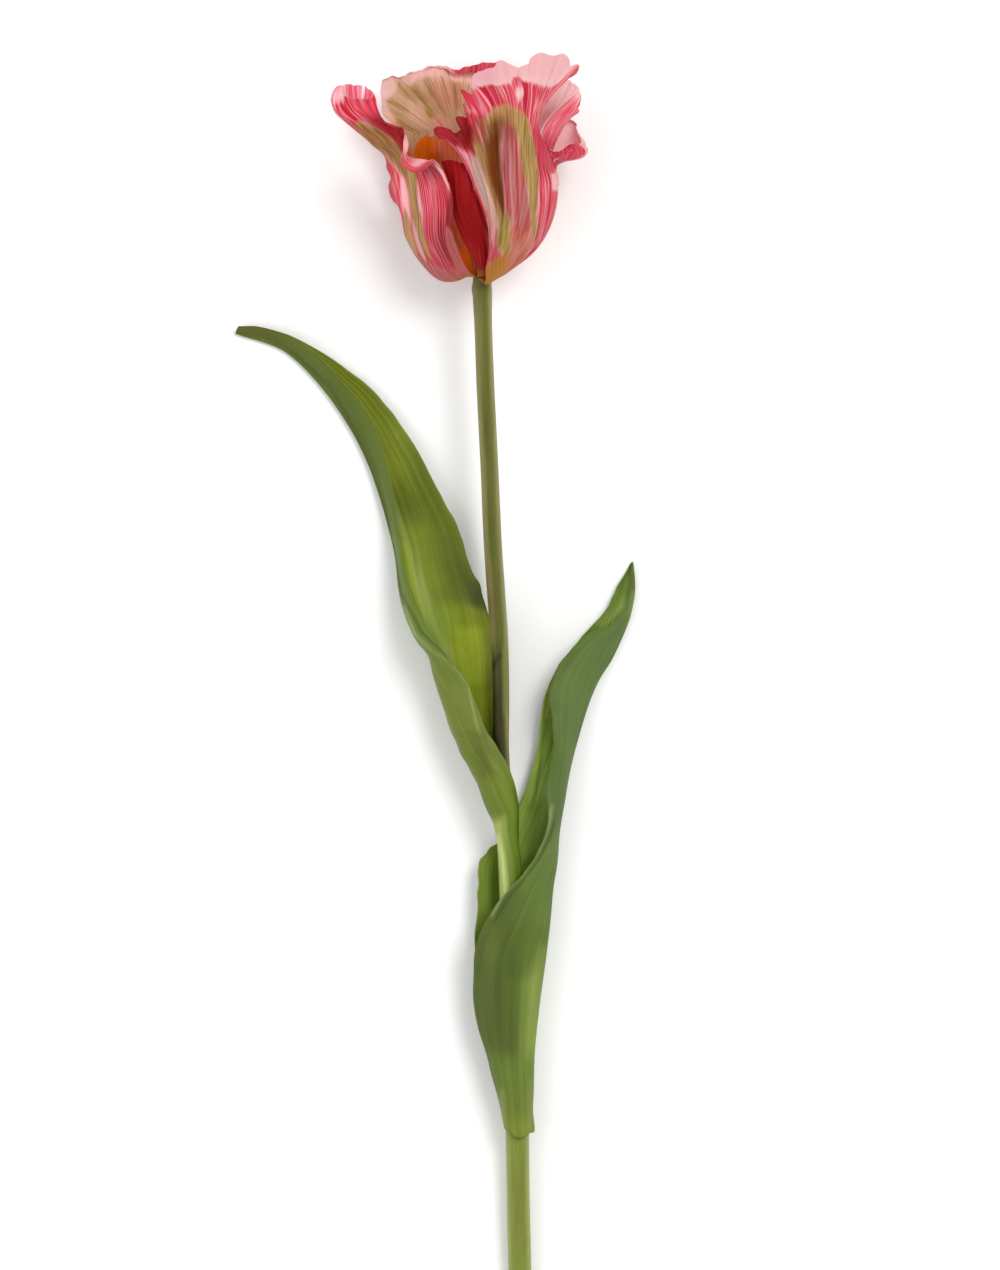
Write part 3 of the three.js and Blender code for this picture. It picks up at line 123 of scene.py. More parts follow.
        [(31.09, -44.35, 15.4), (29.75, -46.17, 19.6), (26.14, -48.04, 21.1), (21.96, -49.21, 19.6), (19.9, -47.78, 15.1), (21.95, -45.19, 11.3), (26.53, -42.16, 10.4)],
        [(28.23, -35.13, 20.8), (25.38, -37.01, 22.1), (21.58, -38.9, 22.1), (17.4, -40.09, 19.6), (15.71, -37.9, 14.1), (18.9, -34.54, 10.4), (25, -29.97, 10.1)],
        [(24.62, -26, 21.8), (21.58, -27.88, 23.1), (17.41, -29.78, 22.6), (13.22, -31.73, 19.6), (11.86, -29.16, 13.1), (15.47, -24.63, 9.9), (23.48, -18.53, 10.5)],
        [(19.3, -16.87, 22.7), (15.89, -19.14, 23.9), (12.09, -21.05, 22.9), (8.66, -22.61, 19.3), (6.91, -19.27, 12.3), (12.42, -13.97, 9.1), (23.1, -6.33, 11.1)],
        [(14.37, -3.96, 23.5), (10.96, -6.61, 24.3), (7.15, -8.9, 22.9), (4.09, -10.45, 18.7), (3.67, -5.95, 11.5), (10.51, -0.25, 8.7), (22.72, 7.01, 11.7)],
        [(10.2, 3.64, 24.3), (7.16, 1.36, 24.5), (3.73, -0.55, 22.3), (0.85, -1.34, 17.5), (1.38, 3.19, 10.7), (9.37, 9.28, 8.1), (22.34, 15.77, 12.5)],
        [(5.65, 9.15, 25.7), (2.61, 7.44, 25.3), (-0.45, 7.05, 21.9), (-2.77, 9.31, 16.1), (-1.3, 13.48, 9.3), (7.84, 18.05, 7.1), (21.57, 21.48, 12.7)],
        [(0.35, 16.17, 26.5), (-2.7, 14.65, 25.5), (-5.77, 15.02, 21.5), (-7.35, 18.44, 15.1), (-3.6, 21.87, 8.1), (7.07, 25.69, 6.3), (19.29, 28.72, 11.1)],
        [(-4.98, 25.65, 24.5), (-7.65, 24.52, 23.1), (-9.97, 24.9, 19.1), (-11.36, 27.58, 13.1), (-5.9, 30.64, 6.7), (4.78, 33.7, 5.5), (16.24, 37.11, 10.1)],
        [(-9.38, 36.68, 20.7), (-11.3, 36.31, 18.9), (-12.87, 36.33, 15.1), (-13.87, 37.49, 10.7), (-8.2, 40.19, 5.5), (2.1, 43.25, 4.9), (12.42, 46.65, 9.5)],
        [(-13.05, 49.26, 15.9), (-13.99, 48.9, 13.5), (-14.71, 48.54, 10.5), (-15.05, 49.33, 7.7), (-9.74, 51.66, 3.9), (-0.58, 54.32, 4.3), (8.99, 56.95, 8.9)],
        [(-14.8, 60.33, 12.5), (-15.94, 59.99, 9.7), (-16.96, 59.64, 6.9), (-17.56, 59.66, 4.9), (-12.43, 61.6, 2.5), (-4.02, 64.64, 3.5), (4.41, 67.63, 8.3)],
        [(-16.33, 73.3, 11.5), (-18.08, 72.58, 8.7), (-19.65, 71.87, 5.5), (-21.02, 71.52, 3.3), (-16.26, 73.46, 1.5), (-8.99, 76.11, 2.9), (-1.7, 78.7, 7.5)],
        [(-19.58, 87.79, 10.9), (-21.9, 86.7, 8.3), (-23.86, 85.62, 4.9), (-25.81, 84.91, 2.3), (-21.62, 86.85, 0.8), (-15.49, 89.87, 2.5), (-9.34, 92.46, 6.5)],
        [(-25.69, 103.05, 10.1), (-28.39, 101.58, 7.9), (-30.74, 100.14, 4.5), (-32.88, 98.87, 1.7), (-29.27, 101.38, 0.5), (-23.9, 104.4, 1.9), (-18.51, 106.99, 5.1)],
        [(-37.52, 118.33, 9.1), (-39.85, 116.86, 7.1), (-42.01, 115.61, 4.1), (-43.97, 114.73, 1.5), (-40.74, 116.86, 0.45), (-36.9, 118.94, 1.3), (-33.24, 120.41, 3.3)],
        [(-52.43, 131.54, 7.3), (-53.81, 130.07, 5.7), (-55.2, 128.62, 3.3), (-56.58, 127.15, 1.3), (-54.69, 128.9, 0.5), (-52.97, 130.62, 0.6), (-51.43, 131.94, 1)],
        [(-65.08, 136.45, 5.3), (-65.68, 135.08, 4.2), (-66.29, 133.6, 2.7), (-67.09, 131.93, 1.3), (-65.77, 133.67, 0.7), (-64.82, 135.39, 0.7), (-64.04, 136.53, 1)],
        [(-74.67, 137.39, 3.5), (-75.07, 136.65, 3), (-75.47, 135.72, 2.3), (-75.72, 134.79, 1.5), (-75.12, 135.38, 1.1), (-74.55, 136.14, 1), (-74.05, 136.71, 1.2)],
    ],
    "LEAF_LOWER": [
        [(25.28, -159.24, 8.95), (26.85, -161.33, 12.55), (31.1, -165.05, 14.1), (35.61, -169.05, 10.77), (35.05, -167.81, 5.7), (30.66, -164.12, 3.42), (26.2, -160.93, 5.78)],
        [(22.34, -152.2, 12.3), (25.38, -153.52, 16.3), (29.94, -154.98, 17.5), (36.43, -154.53, 11.5), (35.12, -153.34, 5.1), (29.59, -152.68, 2.9), (22.9, -151.79, 5.5)],
        [(17.39, -136.15, 13.5), (21.2, -136.68, 18.3), (28.42, -137.39, 19.5), (37, -138.48, 12.5), (34.16, -137.28, 5.5), (27.3, -136.67, 2.3), (18.9, -135.72, 6.3)],
        [(14.15, -119.34, 14.9), (19.68, -119.53, 19.5), (28.42, -119.85, 20.7), (38.9, -120.18, 12.9), (35.31, -120.13, 5.1), (26.53, -119.89, 1.7), (15.47, -119.28, 7.1)],
        [(14.35, -103.26, 17.3), (20.06, -103.52, 20.7), (29.18, -103.87, 21.5), (41, -104.56, 13.1), (37.22, -104.48, 5.1), (27.3, -104.21, 2.1), (14.9, -103.22, 8.1)],
        [(18.92, -89.05, 21.7), (25.38, -89.78, 22.5), (34.12, -90.22, 20.7), (42.9, -90.48, 12.7), (38.36, -90.35, 5.3), (27.3, -89.66, 2.9), (15.47, -88.3, 9.7)],
        [(26.52, -78.01, 22.5), (32.22, -77.65, 21.9), (38.69, -77.38, 18.1), (44.24, -76.82, 11.1), (39.51, -76.24, 4.9), (26.91, -75.52, 3.1), (16.05, -76.09, 10.1)],
        [(33.35, -70.8, 22.3), (37.54, -69.7, 20.7), (42.12, -68.29, 16.5), (45.96, -66.55, 10.3), (41.42, -65.54, 5), (28.82, -65.21, 3.3), (17, -67.34, 9.3)],
        [(39.24, -62.09, 21.3), (42.11, -61, 19.1), (45.36, -58.82, 14.9), (46.92, -56.28, 9.7), (43.33, -55.62, 4.9), (33.02, -56.03, 3.7), (23.48, -59.4, 6.5)],
        [(42.48, -52.25, 19.8), (45.16, -50.39, 17.6), (47.66, -47.82, 13.3), (48.45, -44.48, 8.7), (46, -43.8, 4.5), (37.22, -45.72, 3.9), (29.2, -49.88, 5.5)],
        [(42.11, -40.49, 18.4), (45.54, -38.63, 16.3), (49.19, -35.65, 12.1), (50.56, -31.91, 7.7), (47.92, -31.21, 3.7), (40.28, -34.64, 3.9), (33.4, -40.33, 5.9)],
        [(43.45, -27.2, 17.4), (47.45, -25.32, 15.3), (51.48, -22.33, 11.3), (54, -18.95, 6.7), (50.98, -18.24, 2.7), (43.72, -22.81, 3.5), (36.83, -29.64, 6.5)],
        [(44.02, -13.52, 16.5), (48.6, -12.01, 14.7), (53.77, -9.38, 10.7), (57.82, -6.75, 5.7), (54.81, -6.78, 1.7), (46.77, -10.98, 3.1), (39.12, -14.75, 7.3)],
        [(42.88, -2.87, 15.9), (49.37, -1.36, 13.9), (56.07, 0.52, 9.9), (61.65, 2.4, 4.7), (59.4, 2, 0.9), (49.83, -0.66, 2.9), (41.21, -4.07, 7.9)],
        [(46.69, 7.02, 15.3), (53.18, 7.39, 12.9), (59.89, 8.52, 8.9), (66.63, 10.42, 3.9), (63.99, 10.02, 0.5), (54.03, 8.12, 2.7), (45.6, 5.47, 7.1)],
        [(53.55, 16.34, 14.3), (59.29, 15.77, 11.7), (64.67, 16.53, 7.9), (70.45, 18.43, 3.3), (67.43, 17.67, 0.45), (59.39, 16.14, 2.3), (52.67, 15, 5.7)],
        [(61.18, 21.1, 12.7), (65.4, 20.72, 10.3), (69.26, 22.06, 6.9), (73.13, 24.93, 3.1), (69.73, 24.55, 0.5), (63.98, 23.02, 1.9), (58.6, 21.68, 4.7)],
        [(66.93, 23.77, 10.3), (70, 24.92, 8.3), (72.33, 27.21, 5.5), (74.51, 30.28, 2.8), (70.68, 29.52, 0.6), (67.04, 28.75, 1.7), (63.95, 28.17, 4.1)],
        [(71.53, 28.73, 7.9), (73.08, 30.45, 6.3), (74.25, 32.94, 4.4), (75.43, 35.62, 2.5), (72.02, 35.44, 0.8), (69.52, 34.86, 1.6), (67.2, 33.71, 3.5)],
        [(74.05, 36.75, 5.5), (74.64, 38.1, 4.4), (75.03, 39.82, 3.3), (75.51, 41.74, 2.3), (73.16, 41.75, 1), (71.62, 41.17, 1.5), (70.27, 40.21, 2.8)],
        [(74.74, 45.94, 2.9), (74.89, 46.47, 2.5), (74.98, 46.86, 2.1), (74.91, 47.17, 1.7), (74.61, 47.17, 1.3), (74.3, 46.94, 1.4), (74.06, 46.63, 1.8)],
    ],
}
# the stem: x, y, z, radius
STEM = [(18.17, 157.23, 27.1, 2.28), (18.17, 154.58, 26.98, 2.89), (17.87, 152.69, 26.88, 2.81), (17.68, 149.66, 26.71, 3.29), (17.75, 142.85, 26.32, 3.21), (18.25, 127.71, 25.45, 3.21), (18.81, 112.55, 24.58, 3.21), (19.57, 97.4, 23.7, 3.21), (20.33, 82.23, 22.83, 3.21), (20.97, 67.05, 21.96, 3.25), (21.69, 51.87, 21.09, 3.25), (22.99, 32.88, 20, 3.25), (24.28, 13.88, 18.91, 3.21), (24.66, -5.14, 17.83, 3.14), (24.62, -24.16, 16.74, 3.1), (25.95, -43.2, 15.65, 3.1), (27.44, -58.44, 14.78, 3.1), (28.35, -73.69, 13.91, 3.14), (28.81, -88.95, 13.04, 3.25), (29.19, -104.21, 12.16, 3.48), (29.65, -123.31, 11.08, 3.86), (30.19, -142.41, 9.99, 4.16), (30.65, -161.53, 8.9, 4.39), (30.99, -180.66, 7.81, 4.43), (31.26, -199.8, 6.72, 4.39), (31.72, -218.95, 5.63, 4.39), (32.26, -238.88, 4.5, 4.5)]
AXIS = (18.17, 157.61, 27.12)


# ---------------------------------------------------------------- surfaces
def cr(P, t, axis):
    P = np.moveaxis(np.asarray(P, float), axis, 0)
    n = len(P)
    E = np.concatenate([[2 * P[0] - P[1]], P, [2 * P[-1] - P[-2]]])
    i = np.minimum(np.floor(t).astype(int), n - 2)
    f = (t - i).reshape((len(t),) + (1,) * (P.ndim - 1))
    p0, p1, p2, p3 = E[i], E[i + 1], E[i + 2], E[i + 3]
    q = 0.5 * (2 * p1 + (p2 - p0) * f + (2 * p0 - 5 * p1 + 4 * p2 - p3) * f * f + (3 * p1 - p0 - 3 * p2 + p3) * f ** 3)
    return np.moveaxis(q, 0, axis)


def even(net, axis, n):
    """n + 1 index positions along an axis of the net at about even distances."""
    net = np.asarray(net, float)
    k = net.shape[axis] - 1
    t = np.linspace(0, k, k * 8 + 1)
    P = cr(net, t, axis)
    step = np.linalg.norm(np.diff(P, axis=axis), axis=2).mean(1 - axis)
    step = 0.75 * step / step.sum() + 0.25 / len(step)
    cum = np.concatenate([[0], np.cumsum(step)])
    return np.interp(np.linspace(0, cum[-1], n + 1), cum, t)


def sm(x, lo, hi):
    x = np.clip((x - lo) / (hi - lo), 0, 1)
    return x * x * (3 - 2 * x)


def bump(x, c, w):
    return np.exp(-((x - c) / w) ** 2)


def unit(a):
    return a / np.maximum(np.linalg.norm(a, axis=-1, keepdims=True), 1e-9)


def normals(P):
    return unit(np.cross(np.gradient(P, axis=0), np.gradient(P, axis=1)))


def wobble(x, seed, n=6, lo=1.0, hi=6.0):
    """A smooth seeded wave of x in 0..1, about -1 to 1."""
    r = np.random.default_rng(seed)
    f, p, a = r.uniform(lo, hi, n), r.uniform(0, 6.283, n), r.uniform(0.5, 1, n)
    return sum(a[k] * np.sin(6.283 * f[k] * x + p[k]) for k in range(n)) / a.sum() * 1.6


def teeth(x, count, seed, sharp=0.8):
    """Irregular pointed teeth along x in 0..1, 0 to 1."""
    r = np.random.default_rng(seed)
    edges = np.sort(np.concatenate([[0, 1], (np.arange(1, count) + r.uniform(-0.32, 0.32, count - 1)) / count]))
    k = np.clip(np.searchsorted(edges, x, side="right") - 1, 0, count - 1)
    w = (x - edges[k]) / (edges[k + 1] - edges[k])
    lean, high = r.uniform(0.3, 0.7, count)[k], r.uniform(0.35, 1, count)[k]
    tri = np.where(w < lean, w / lean, (1 - w) / (1 - lean))
    return np.clip(tri, 0, 1) ** sharp * high


def quads(nu, nv, closed=False):
    a, b = np.meshgrid(np.arange(nu), np.arange(nv), indexing="ij")
    i = a * (nv + 1) + b
    return np.stack([i, i + nv + 1, i + nv + 2, i + 1], -1).reshape(-1, 4)


def mesh(name, V, F, layers=None, colours=None, mats=(), mat_of=None):
    me = bpy.data.meshes.new(name)
    me.vertices.add(len(V))
    me.vertices.foreach_set("co", (np.asarray(V, float) / 1000).astype(np.float32).ravel())
    F = [np.asarray(f, int) for f in F if len(f)]
    me.loops.add(sum(f.size for f in F))
    loops = np.concatenate([f.ravel() for f in F])
    me.loops.foreach_set("vertex_index", loops.astype(np.int32))
    size = np.concatenate([np.full(len(f), f.shape[1]) for f in F])
    me.polygons.add(len(size))
    me.polygons.foreach_set("loop_start", np.concatenate([[0], np.cumsum(size)[:-1]]).astype(np.int32))
    me.polygons.foreach_set("use_smooth", np.ones(len(size), bool))
    if mat_of is not None:
        me.polygons.foreach_set("material_index", mat_of.astype(np.int32))
    me.update(calc_edges=True)
    if layers is not None:
        uv = me.uv_layers.new(name="st")
        uv.data.foreach_set("uv", layers[loops].astype(np.float32).ravel())
    for key, c in (colours or {}).items():
        at = me.attributes.new(key, "FLOAT_COLOR", "POINT")
        c4 = np.concatenate([c, np.ones((len(c), 1))], 1)
        at.data.foreach_set("color", c4.astype(np.float32).ravel())
    me.validate()
    ob = bpy.data.objects.new(name, me)
    bpy.context.scene.collection.objects.link(ob)
    for m in mats:
        me.materials.append(m)
    return ob


def sheet(name, P, thick, st, marks, mats):
    """Two skins and a rim round the mid surface P. mats: outer skin, inner skin. marks: {key: (nu+1, nv+1, 3)}."""
    nu, nv = P.shape[0] - 1, P.shape[1] - 1
    N = normals(P)
    A = P + N * thick[..., None] / 2
    B = P - N * thick[..., None] / 2
    V = np.concatenate([A.reshape(-1, 3), B.reshape(-1, 3)])
    n = (nu + 1) * (nv + 1)
    q = quads(nu, nv)
    qa, qb = q[:, ::-1], q + n
    idx = np.arange(n).reshape(nu + 1, nv + 1)
    ring = np.concatenate([idx[0, :-1], idx[:-1, -1], idx[-1, :0:-1], idx[:0:-1, 0]])
    nxt = np.roll(ring, -1)
    rim = np.stack([ring, nxt, nxt + n, ring + n], -1)[:, ::-1]
    F = np.concatenate([qa, qb, rim])
    vol = 0.0
    T = np.concatenate([F[:, [0, 1, 2]], F[:, [0, 2, 3]]])
    vol = np.einsum("ij,ij->", V[T[:, 0]], np.cross(V[T[:, 1]], V[T[:, 2]]))
    if vol < 0:
        F = F[:, ::-1]
    UV = np.concatenate([st.reshape(-1, 2)] * 2)
    mat_of = np.concatenate([np.zeros(len(qa)), np.ones(len(qb)), np.zeros(len(rim))])
    pair = {k: m if isinstance(m, tuple) else (m, m) for k, m in marks.items()}
    return mesh(name, V, [F], UV, {k: np.concatenate([a.reshape(-1, 3), b.reshape(-1, 3)]) for k, (a, b) in pair.items()}, mats, mat_of)


def tube(name, path, radii, sides, mats, shape=None, paint=None):
    """A stalk with rings square to its path."""
    path, radii = np.asarray(path, float), np.asarray(radii, float)
    n = len(path)
    d = unit(np.gradient(path, axis=0))
    up = np.array([0, 0, 1.0])
    side = unit(np.cross(d, np.broadcast_to(up, d.shape)))
    up2 = np.cross(side, d)
    w = np.linspace(0, 2 * np.pi, sides, endpoint=False)
    s = np.linspace(0, 1, n)
    r = radii[:, None] * (shape(w[None, :], s[:, None]) if shape else np.ones((n, sides)))
    R = path[:, None] + r[..., None] * (np.cos(w)[None, :, None] * side[:, None] + np.sin(w)[None, :, None] * up2[:, None])
    V = np.concatenate([R.reshape(-1, 3), path[:1], path[-1:]])
    a, b = np.meshgrid(np.arange(n - 1), np.arange(sides), indexing="ij")
    i, j = a * sides + b, a * sides + (b + 1) % sides
    Q = np.stack([i, j, j + sides, i + sides], -1).reshape(-1, 4)
    k = np.arange(sides)
    c0 = np.stack([np.full(sides, n * sides), (k + 1) % sides, k], -1)
    c1 = np.stack([np.full(sides, n * sides + 1), (n - 1) * sides + k, (n - 1) * sides + (k + 1) % sides], -1)
    T = np.concatenate([Q[:, [0, 1, 2]], Q[:, [0, 2, 3]], c0, c1])
    vol = np.einsum("ij,ij->", V[T[:, 0]], np.cross(V[T[:, 1]], V[T[:, 2]]))
    tri = np.concatenate([c0, c1])
    if vol < 0:
        Q, tri = Q[:, ::-1], tri[:, ::-1]
    st = np.zeros((len(V), 2))
    st[: n * sides, 0] = np.tile(np.abs(w / np.pi - 1), n)
    st[: n * sides, 1] = np.repeat(s, sides)
    st[-1, 1] = 1
    mat_of = np.concatenate([np.zeros(len(Q)), np.full(len(tri), len(mats) - 1)])
    return mesh(name, V, [Q, tri], st, {"tone": paint(V)} if paint else None, mats, mat_of)


# ---------------------------------------------------------------- materials
def lin(r, g, b):
    return tuple((c / 255 / 12.92 if c / 255 <= 0.04045 else ((c / 255 + 0.055) / 1.055) ** 2.4) for c in (r, g, b)) + (1,)


class Mat:
    def __init__(self, name, rough=0.55, subsurface=0.0, sheen=0.0, coat=0.0):
        self.m = bpy.data.materials.new(name)
        self.m.use_nodes = True
        self.t = self.m.node_tree
        self.bsdf = self.t.nodes["Principled BSDF"]
        self.bsdf.inputs["Roughness"].default_value = rough
        self.bsdf.inputs["Subsurface Weight"].default_value = subsurface
        self.bsdf.inputs["Subsurface Radius"].default_value = (1.0, 0.5, 0.35)
        self.bsdf.inputs["Subsurface Scale"].default_value = 0.0012
        self.bsdf.inputs["Sheen Weight"].default_value = sheen
        self.bsdf.inputs["Coat Weight"].default_value = coat

    def node(self, kind, **props):
        n = self.t.nodes.new(kind)
        for k, v in props.items():
            setattr(n, k, v)
        return n

    def put(self, sock, val):
        if hasattr(val, "links"):
            self.t.links.new(val, sock)
        else:
            sock.default_value = val

    def uv(self):
        n = self.node("ShaderNodeUVMap", uv_map="st")
        s = self.node("ShaderNodeSeparateXYZ")
        self.put(s.inputs[0], n.outputs[0])
        return s.outputs[0], s.outputs[1]

    def vec(self, x, y, z=0.0):
        n = self.node("ShaderNodeCombineXYZ")
        for i, v in enumerate((x, y, z)):
            self.put(n.inputs[i], v)
        return n.outputs[0]

    def math(self, op, a, b=0.0, c=0.0, clamp=False):
        n = self.node("ShaderNodeMath", operation=op, use_clamp=clamp)
        for i, v in enumerate((a, b, c)):
            self.put(n.inputs[i], v)
        return n.outputs[0]

    def noise(self, v, scale, detail=2.0, rough=0.5, distort=0.0):
        n = self.node("ShaderNodeTexNoise", noise_dimensions="3D")
        self.put(n.inputs["Vector"], v)
        n.inputs["Scale"].default_value = scale
        n.inputs["Detail"].default_value = detail
        n.inputs["Roughness"].default_value = rough
        n.inputs["Distortion"].default_value = distort
        return n.outputs[0]

    def smooth(self, x, lo, hi, a=0.0, b=1.0):
        n = self.node("ShaderNodeMapRange", interpolation_type="SMOOTHSTEP")
        self.put(n.inputs["Value"], x)
        for k, v in (("From Min", lo), ("From Max", hi), ("To Min", a), ("To Max", b)):
            self.put(n.inputs[k], v)
        return n.outputs[0]

    def mix(self, f, a, b, blend="MIX"):
        n = self.node("ShaderNodeMix", data_type="RGBA", blend_type=blend)
        self.put(n.inputs[0], f)
        self.put(n.inputs[6], a)
        self.put(n.inputs[7], b)
        return n.outputs[2]

    def ramp(self, x, stops):
        n = self.node("ShaderNodeValToRGB")
        self.put(n.inputs[0], x)
        e = n.color_ramp.elements
        while len(e) < len(stops):
            e.new(0.5)
        for i, (p, c) in enumerate(stops):
            e[i].position, e[i].color = p, c
        return n.outputs[0]

    def marks(self, key):
        n = self.node("ShaderNodeAttribute", attribute_name=key)
        s = self.node("ShaderNodeSeparateColor")
        self.put(s.inputs[0], n.outputs["Color"])
        return s.outputs[0], s.outputs[1], s.outputs[2]

    def bump(self, h, strength, distance, after=None):
        n = self.node("ShaderNodeBump")
        n.inputs["Strength"].default_value = strength
        n.inputs["Distance"].default_value = distance
        self.put(n.inputs["Height"], h)
        if after is not None:
            self.put(n.inputs["Normal"], after)
        self.put(self.bsdf.inputs["Normal"], n.outputs[0])
        return n.outputs[0]

    def colour(self, c):
        self.put(self.bsdf.inputs["Base Color"], c)

    def rough(self, r):
        self.put(self.bsdf.inputs["Roughness"], r)


def tepal_material(name, count=48.0, waves=52.0, pale=(218, 162, 164), rose=(214, 86, 108), crimson=(190, 28, 48), deep_and_shade=(134, 5, 12),
                   olive=((186, 148, 94), (138, 102, 48)), warm=((168, 100, 44), (176, 114, 50)), brown_and_shade=(116, 56, 10), dusky=(164, 84, 80), line=(228, 140, 154),
                   vein=((214, 86, 108), 0.45)):
    """mkA = red streaks, olive, pale margin. mkB = warm base, brown, white line. mkC = fine pale lines, deep (dark
    red), dusky. The brown and deep marks also carry painted shade, and tint also paints light and shade by brightening
    or darkening.
    """
    m = Mat(name, 0.58, subsurface=0.06)
    m.bsdf.inputs["Specular IOR Level"].default_value = 0.12
    t, s = m.uv()
    a1, a2, a3 = m.marks("mkA")
    b1, b2, b3 = m.marks("mkB")
    c1, c2, c3 = m.marks("mkC")

    def grain(n, along, z, detail=2.0, rough=0.55, distort=0.0):
        return m.noise(m.vec(m.math("MULTIPLY", t, n), m.math("MULTIPLY", s, along), z), 1.0, detail, rough, distort)

    def off(x, gain):
        return m.math("MULTIPLY", m.math("SUBTRACT", x, 0.5), gain)

    def thin(x, half):
        return m.smooth(m.math("ABSOLUTE", m.math("SUBTRACT", x, 0.5)), half, half * 0.25)

    def cover(a, n, lo, hi):
        """The noise works only where a mark fades out."""
        g = m.math("MAXIMUM", m.math("MULTIPLY", a, m.math("SUBTRACT", 1.0, a)), 0.0)
        return m.smooth(m.math("ADD", a, m.math("MULTIPLY", n, g)), lo, hi)

    def tuned(a, b, k):
        return tuple((1 - k) * x + k * y for x, y in zip(lin(*a), lin(*b)))

    wide = grain(count * 0.55, 3.0, 1.3, 3.0, 0.62, 0.1)
    fine = grain(count * 1.5, 5.5, 7.7, 2.0, 0.6)
    hair = grain(count * 3.2, 9.0, 3.9, 1.0, 0.5)
    blot = m.noise(m.vec(m.math("MULTIPLY", t, 7.0), m.math("MULTIPLY", s, 7.0), 4.0), 1.0, 3.0, 0.55)
    v1 = thin(grain(count * 0.75, 2.6, 12.1, 1.0, 0.4), 0.055)
    v2 = thin(grain(count * 1.3, 4.4, 21.7, 1.0, 0.4), 0.05)
    wave = m.math("SINE", m.math("ADD", m.math("MULTIPLY", t, waves * 2 * np.pi), off(grain(count * 0.3, 2.4, 30.3), 11.0)))
    v3 = m.math("MULTIPLY", m.smooth(wave, 0.2, 0.95), m.smooth(grain(count * 0.6, 4.0, 17.9, 1.0, 0.5), 0.36, 0.6))
    k = m.math("ADD", off(wide, 2.2), off(fine, 2.0))
    streak = m.smooth(m.math("ADD", a1, m.math("MULTIPLY", m.math("MULTIPLY", k, 0.5), m.smooth(a1, 0.0, 0.3))), 0.28, 0.70)
    lines = m.math("MULTIPLY", m.math("MAXIMUM", m.math("MULTIPLY", v1, 0.6), v3), m.math("MINIMUM", c1, 1.0))
    red = m.mix(m.smooth(m.math("ADD", off(wide, 2.2), off(fine, 1.6)), -0.35, 0.45), tuned(crimson, rose, 0.3), tuned(crimson, deep_and_shade, 0.45))
    red = m.mix(m.smooth(m.math("ADD", c2, off(fine, 0.8)), 0.15, 0.85), red, lin(*deep_and_shade))
    red = m.mix(m.math("MULTIPLY", lines, 0.85), red, lin(*line))
    ground = m.mix(m.smooth(m.math("ADD", off(blot, 2.0), off(fine, 1.6)), -0.4, 0.5), lin(*pale), tuned(pale, rose, 0.4))
    ground = m.mix(m.math("MULTIPLY", v3, vein[1]), ground, lin(*vein[0]))
    c = m.mix(streak, ground, red)
    dk = m.mix(m.smooth(off(fine, 2.4), -0.4, 0.4), tuned(dusky, pale, 0.35), tuned(dusky, crimson, 0.3))
    c = m.mix(cover(c3, m.math("MULTIPLY", k, 0.9), 0.2, 0.85), c, dk)
    ol = m.mix(m.smooth(m.math("ADD", off(fine, 2.0), off(hair, 1.4)), -0.4, 0.5), lin(*olive[0]), lin(*olive[1]))
    ol = m.mix(m.math("MULTIPLY", v3, 0.22), ol, lin(*pale))
    c = m.mix(cover(a2, m.math("MULTIPLY", k, 1.7), 0.2, 0.8), c, ol)
    wm = m.mix(m.smooth(m.math("ADD", off(blot, 1.6), off(fine, 1.4)), -0.4, 0.4), lin(*warm[0]), lin(*warm[1]))
    c = m.mix(cover(b1, m.math("MULTIPLY", k, 1.2), 0.15, 0.9), c, wm)
    c = m.mix(m.smooth(m.math("ADD", b2, m.math("MULTIPLY", off(fine, 1.6), 0.22)), 0.1, 1.0), c, lin(*brown_and_shade))
    pl = m.mix(m.smooth(m.math("ADD", off(fine, 1.6), off(blot, 1.4)), -0.4, 0.5), lin(*pale), tuned(pale, (226, 180, 182), 0.35))
    c = m.mix(cover(a3, m.math("MULTIPLY", k, 2.1), 0.26, 0.74), c, pl)
    c = m.mix(m.math("MULTIPLY", b3, m.smooth(off(fine, 2.0), -0.3, 0.2, 0.35, 1.0)), c, lin(214, 176, 166))
    tn = m.node("ShaderNodeAttribute", attribute_name="tint_and_shading")
    c = m.mix(1.0, c, tn.outputs["Color"], "MULTIPLY")
    m.colour(c)
    m.rough(m.smooth(fine, 0.35, 0.65, 0.5, 0.68))
    m.bump(m.math("ADD", m.math("ADD", wide, m.math("MULTIPLY", fine, 0.5)), m.math("ADD", m.math("MULTIPLY", v1, 0.12), m.math("MULTIPLY", wave, 0.08))), 0.55, 0.0004)
    return m.m


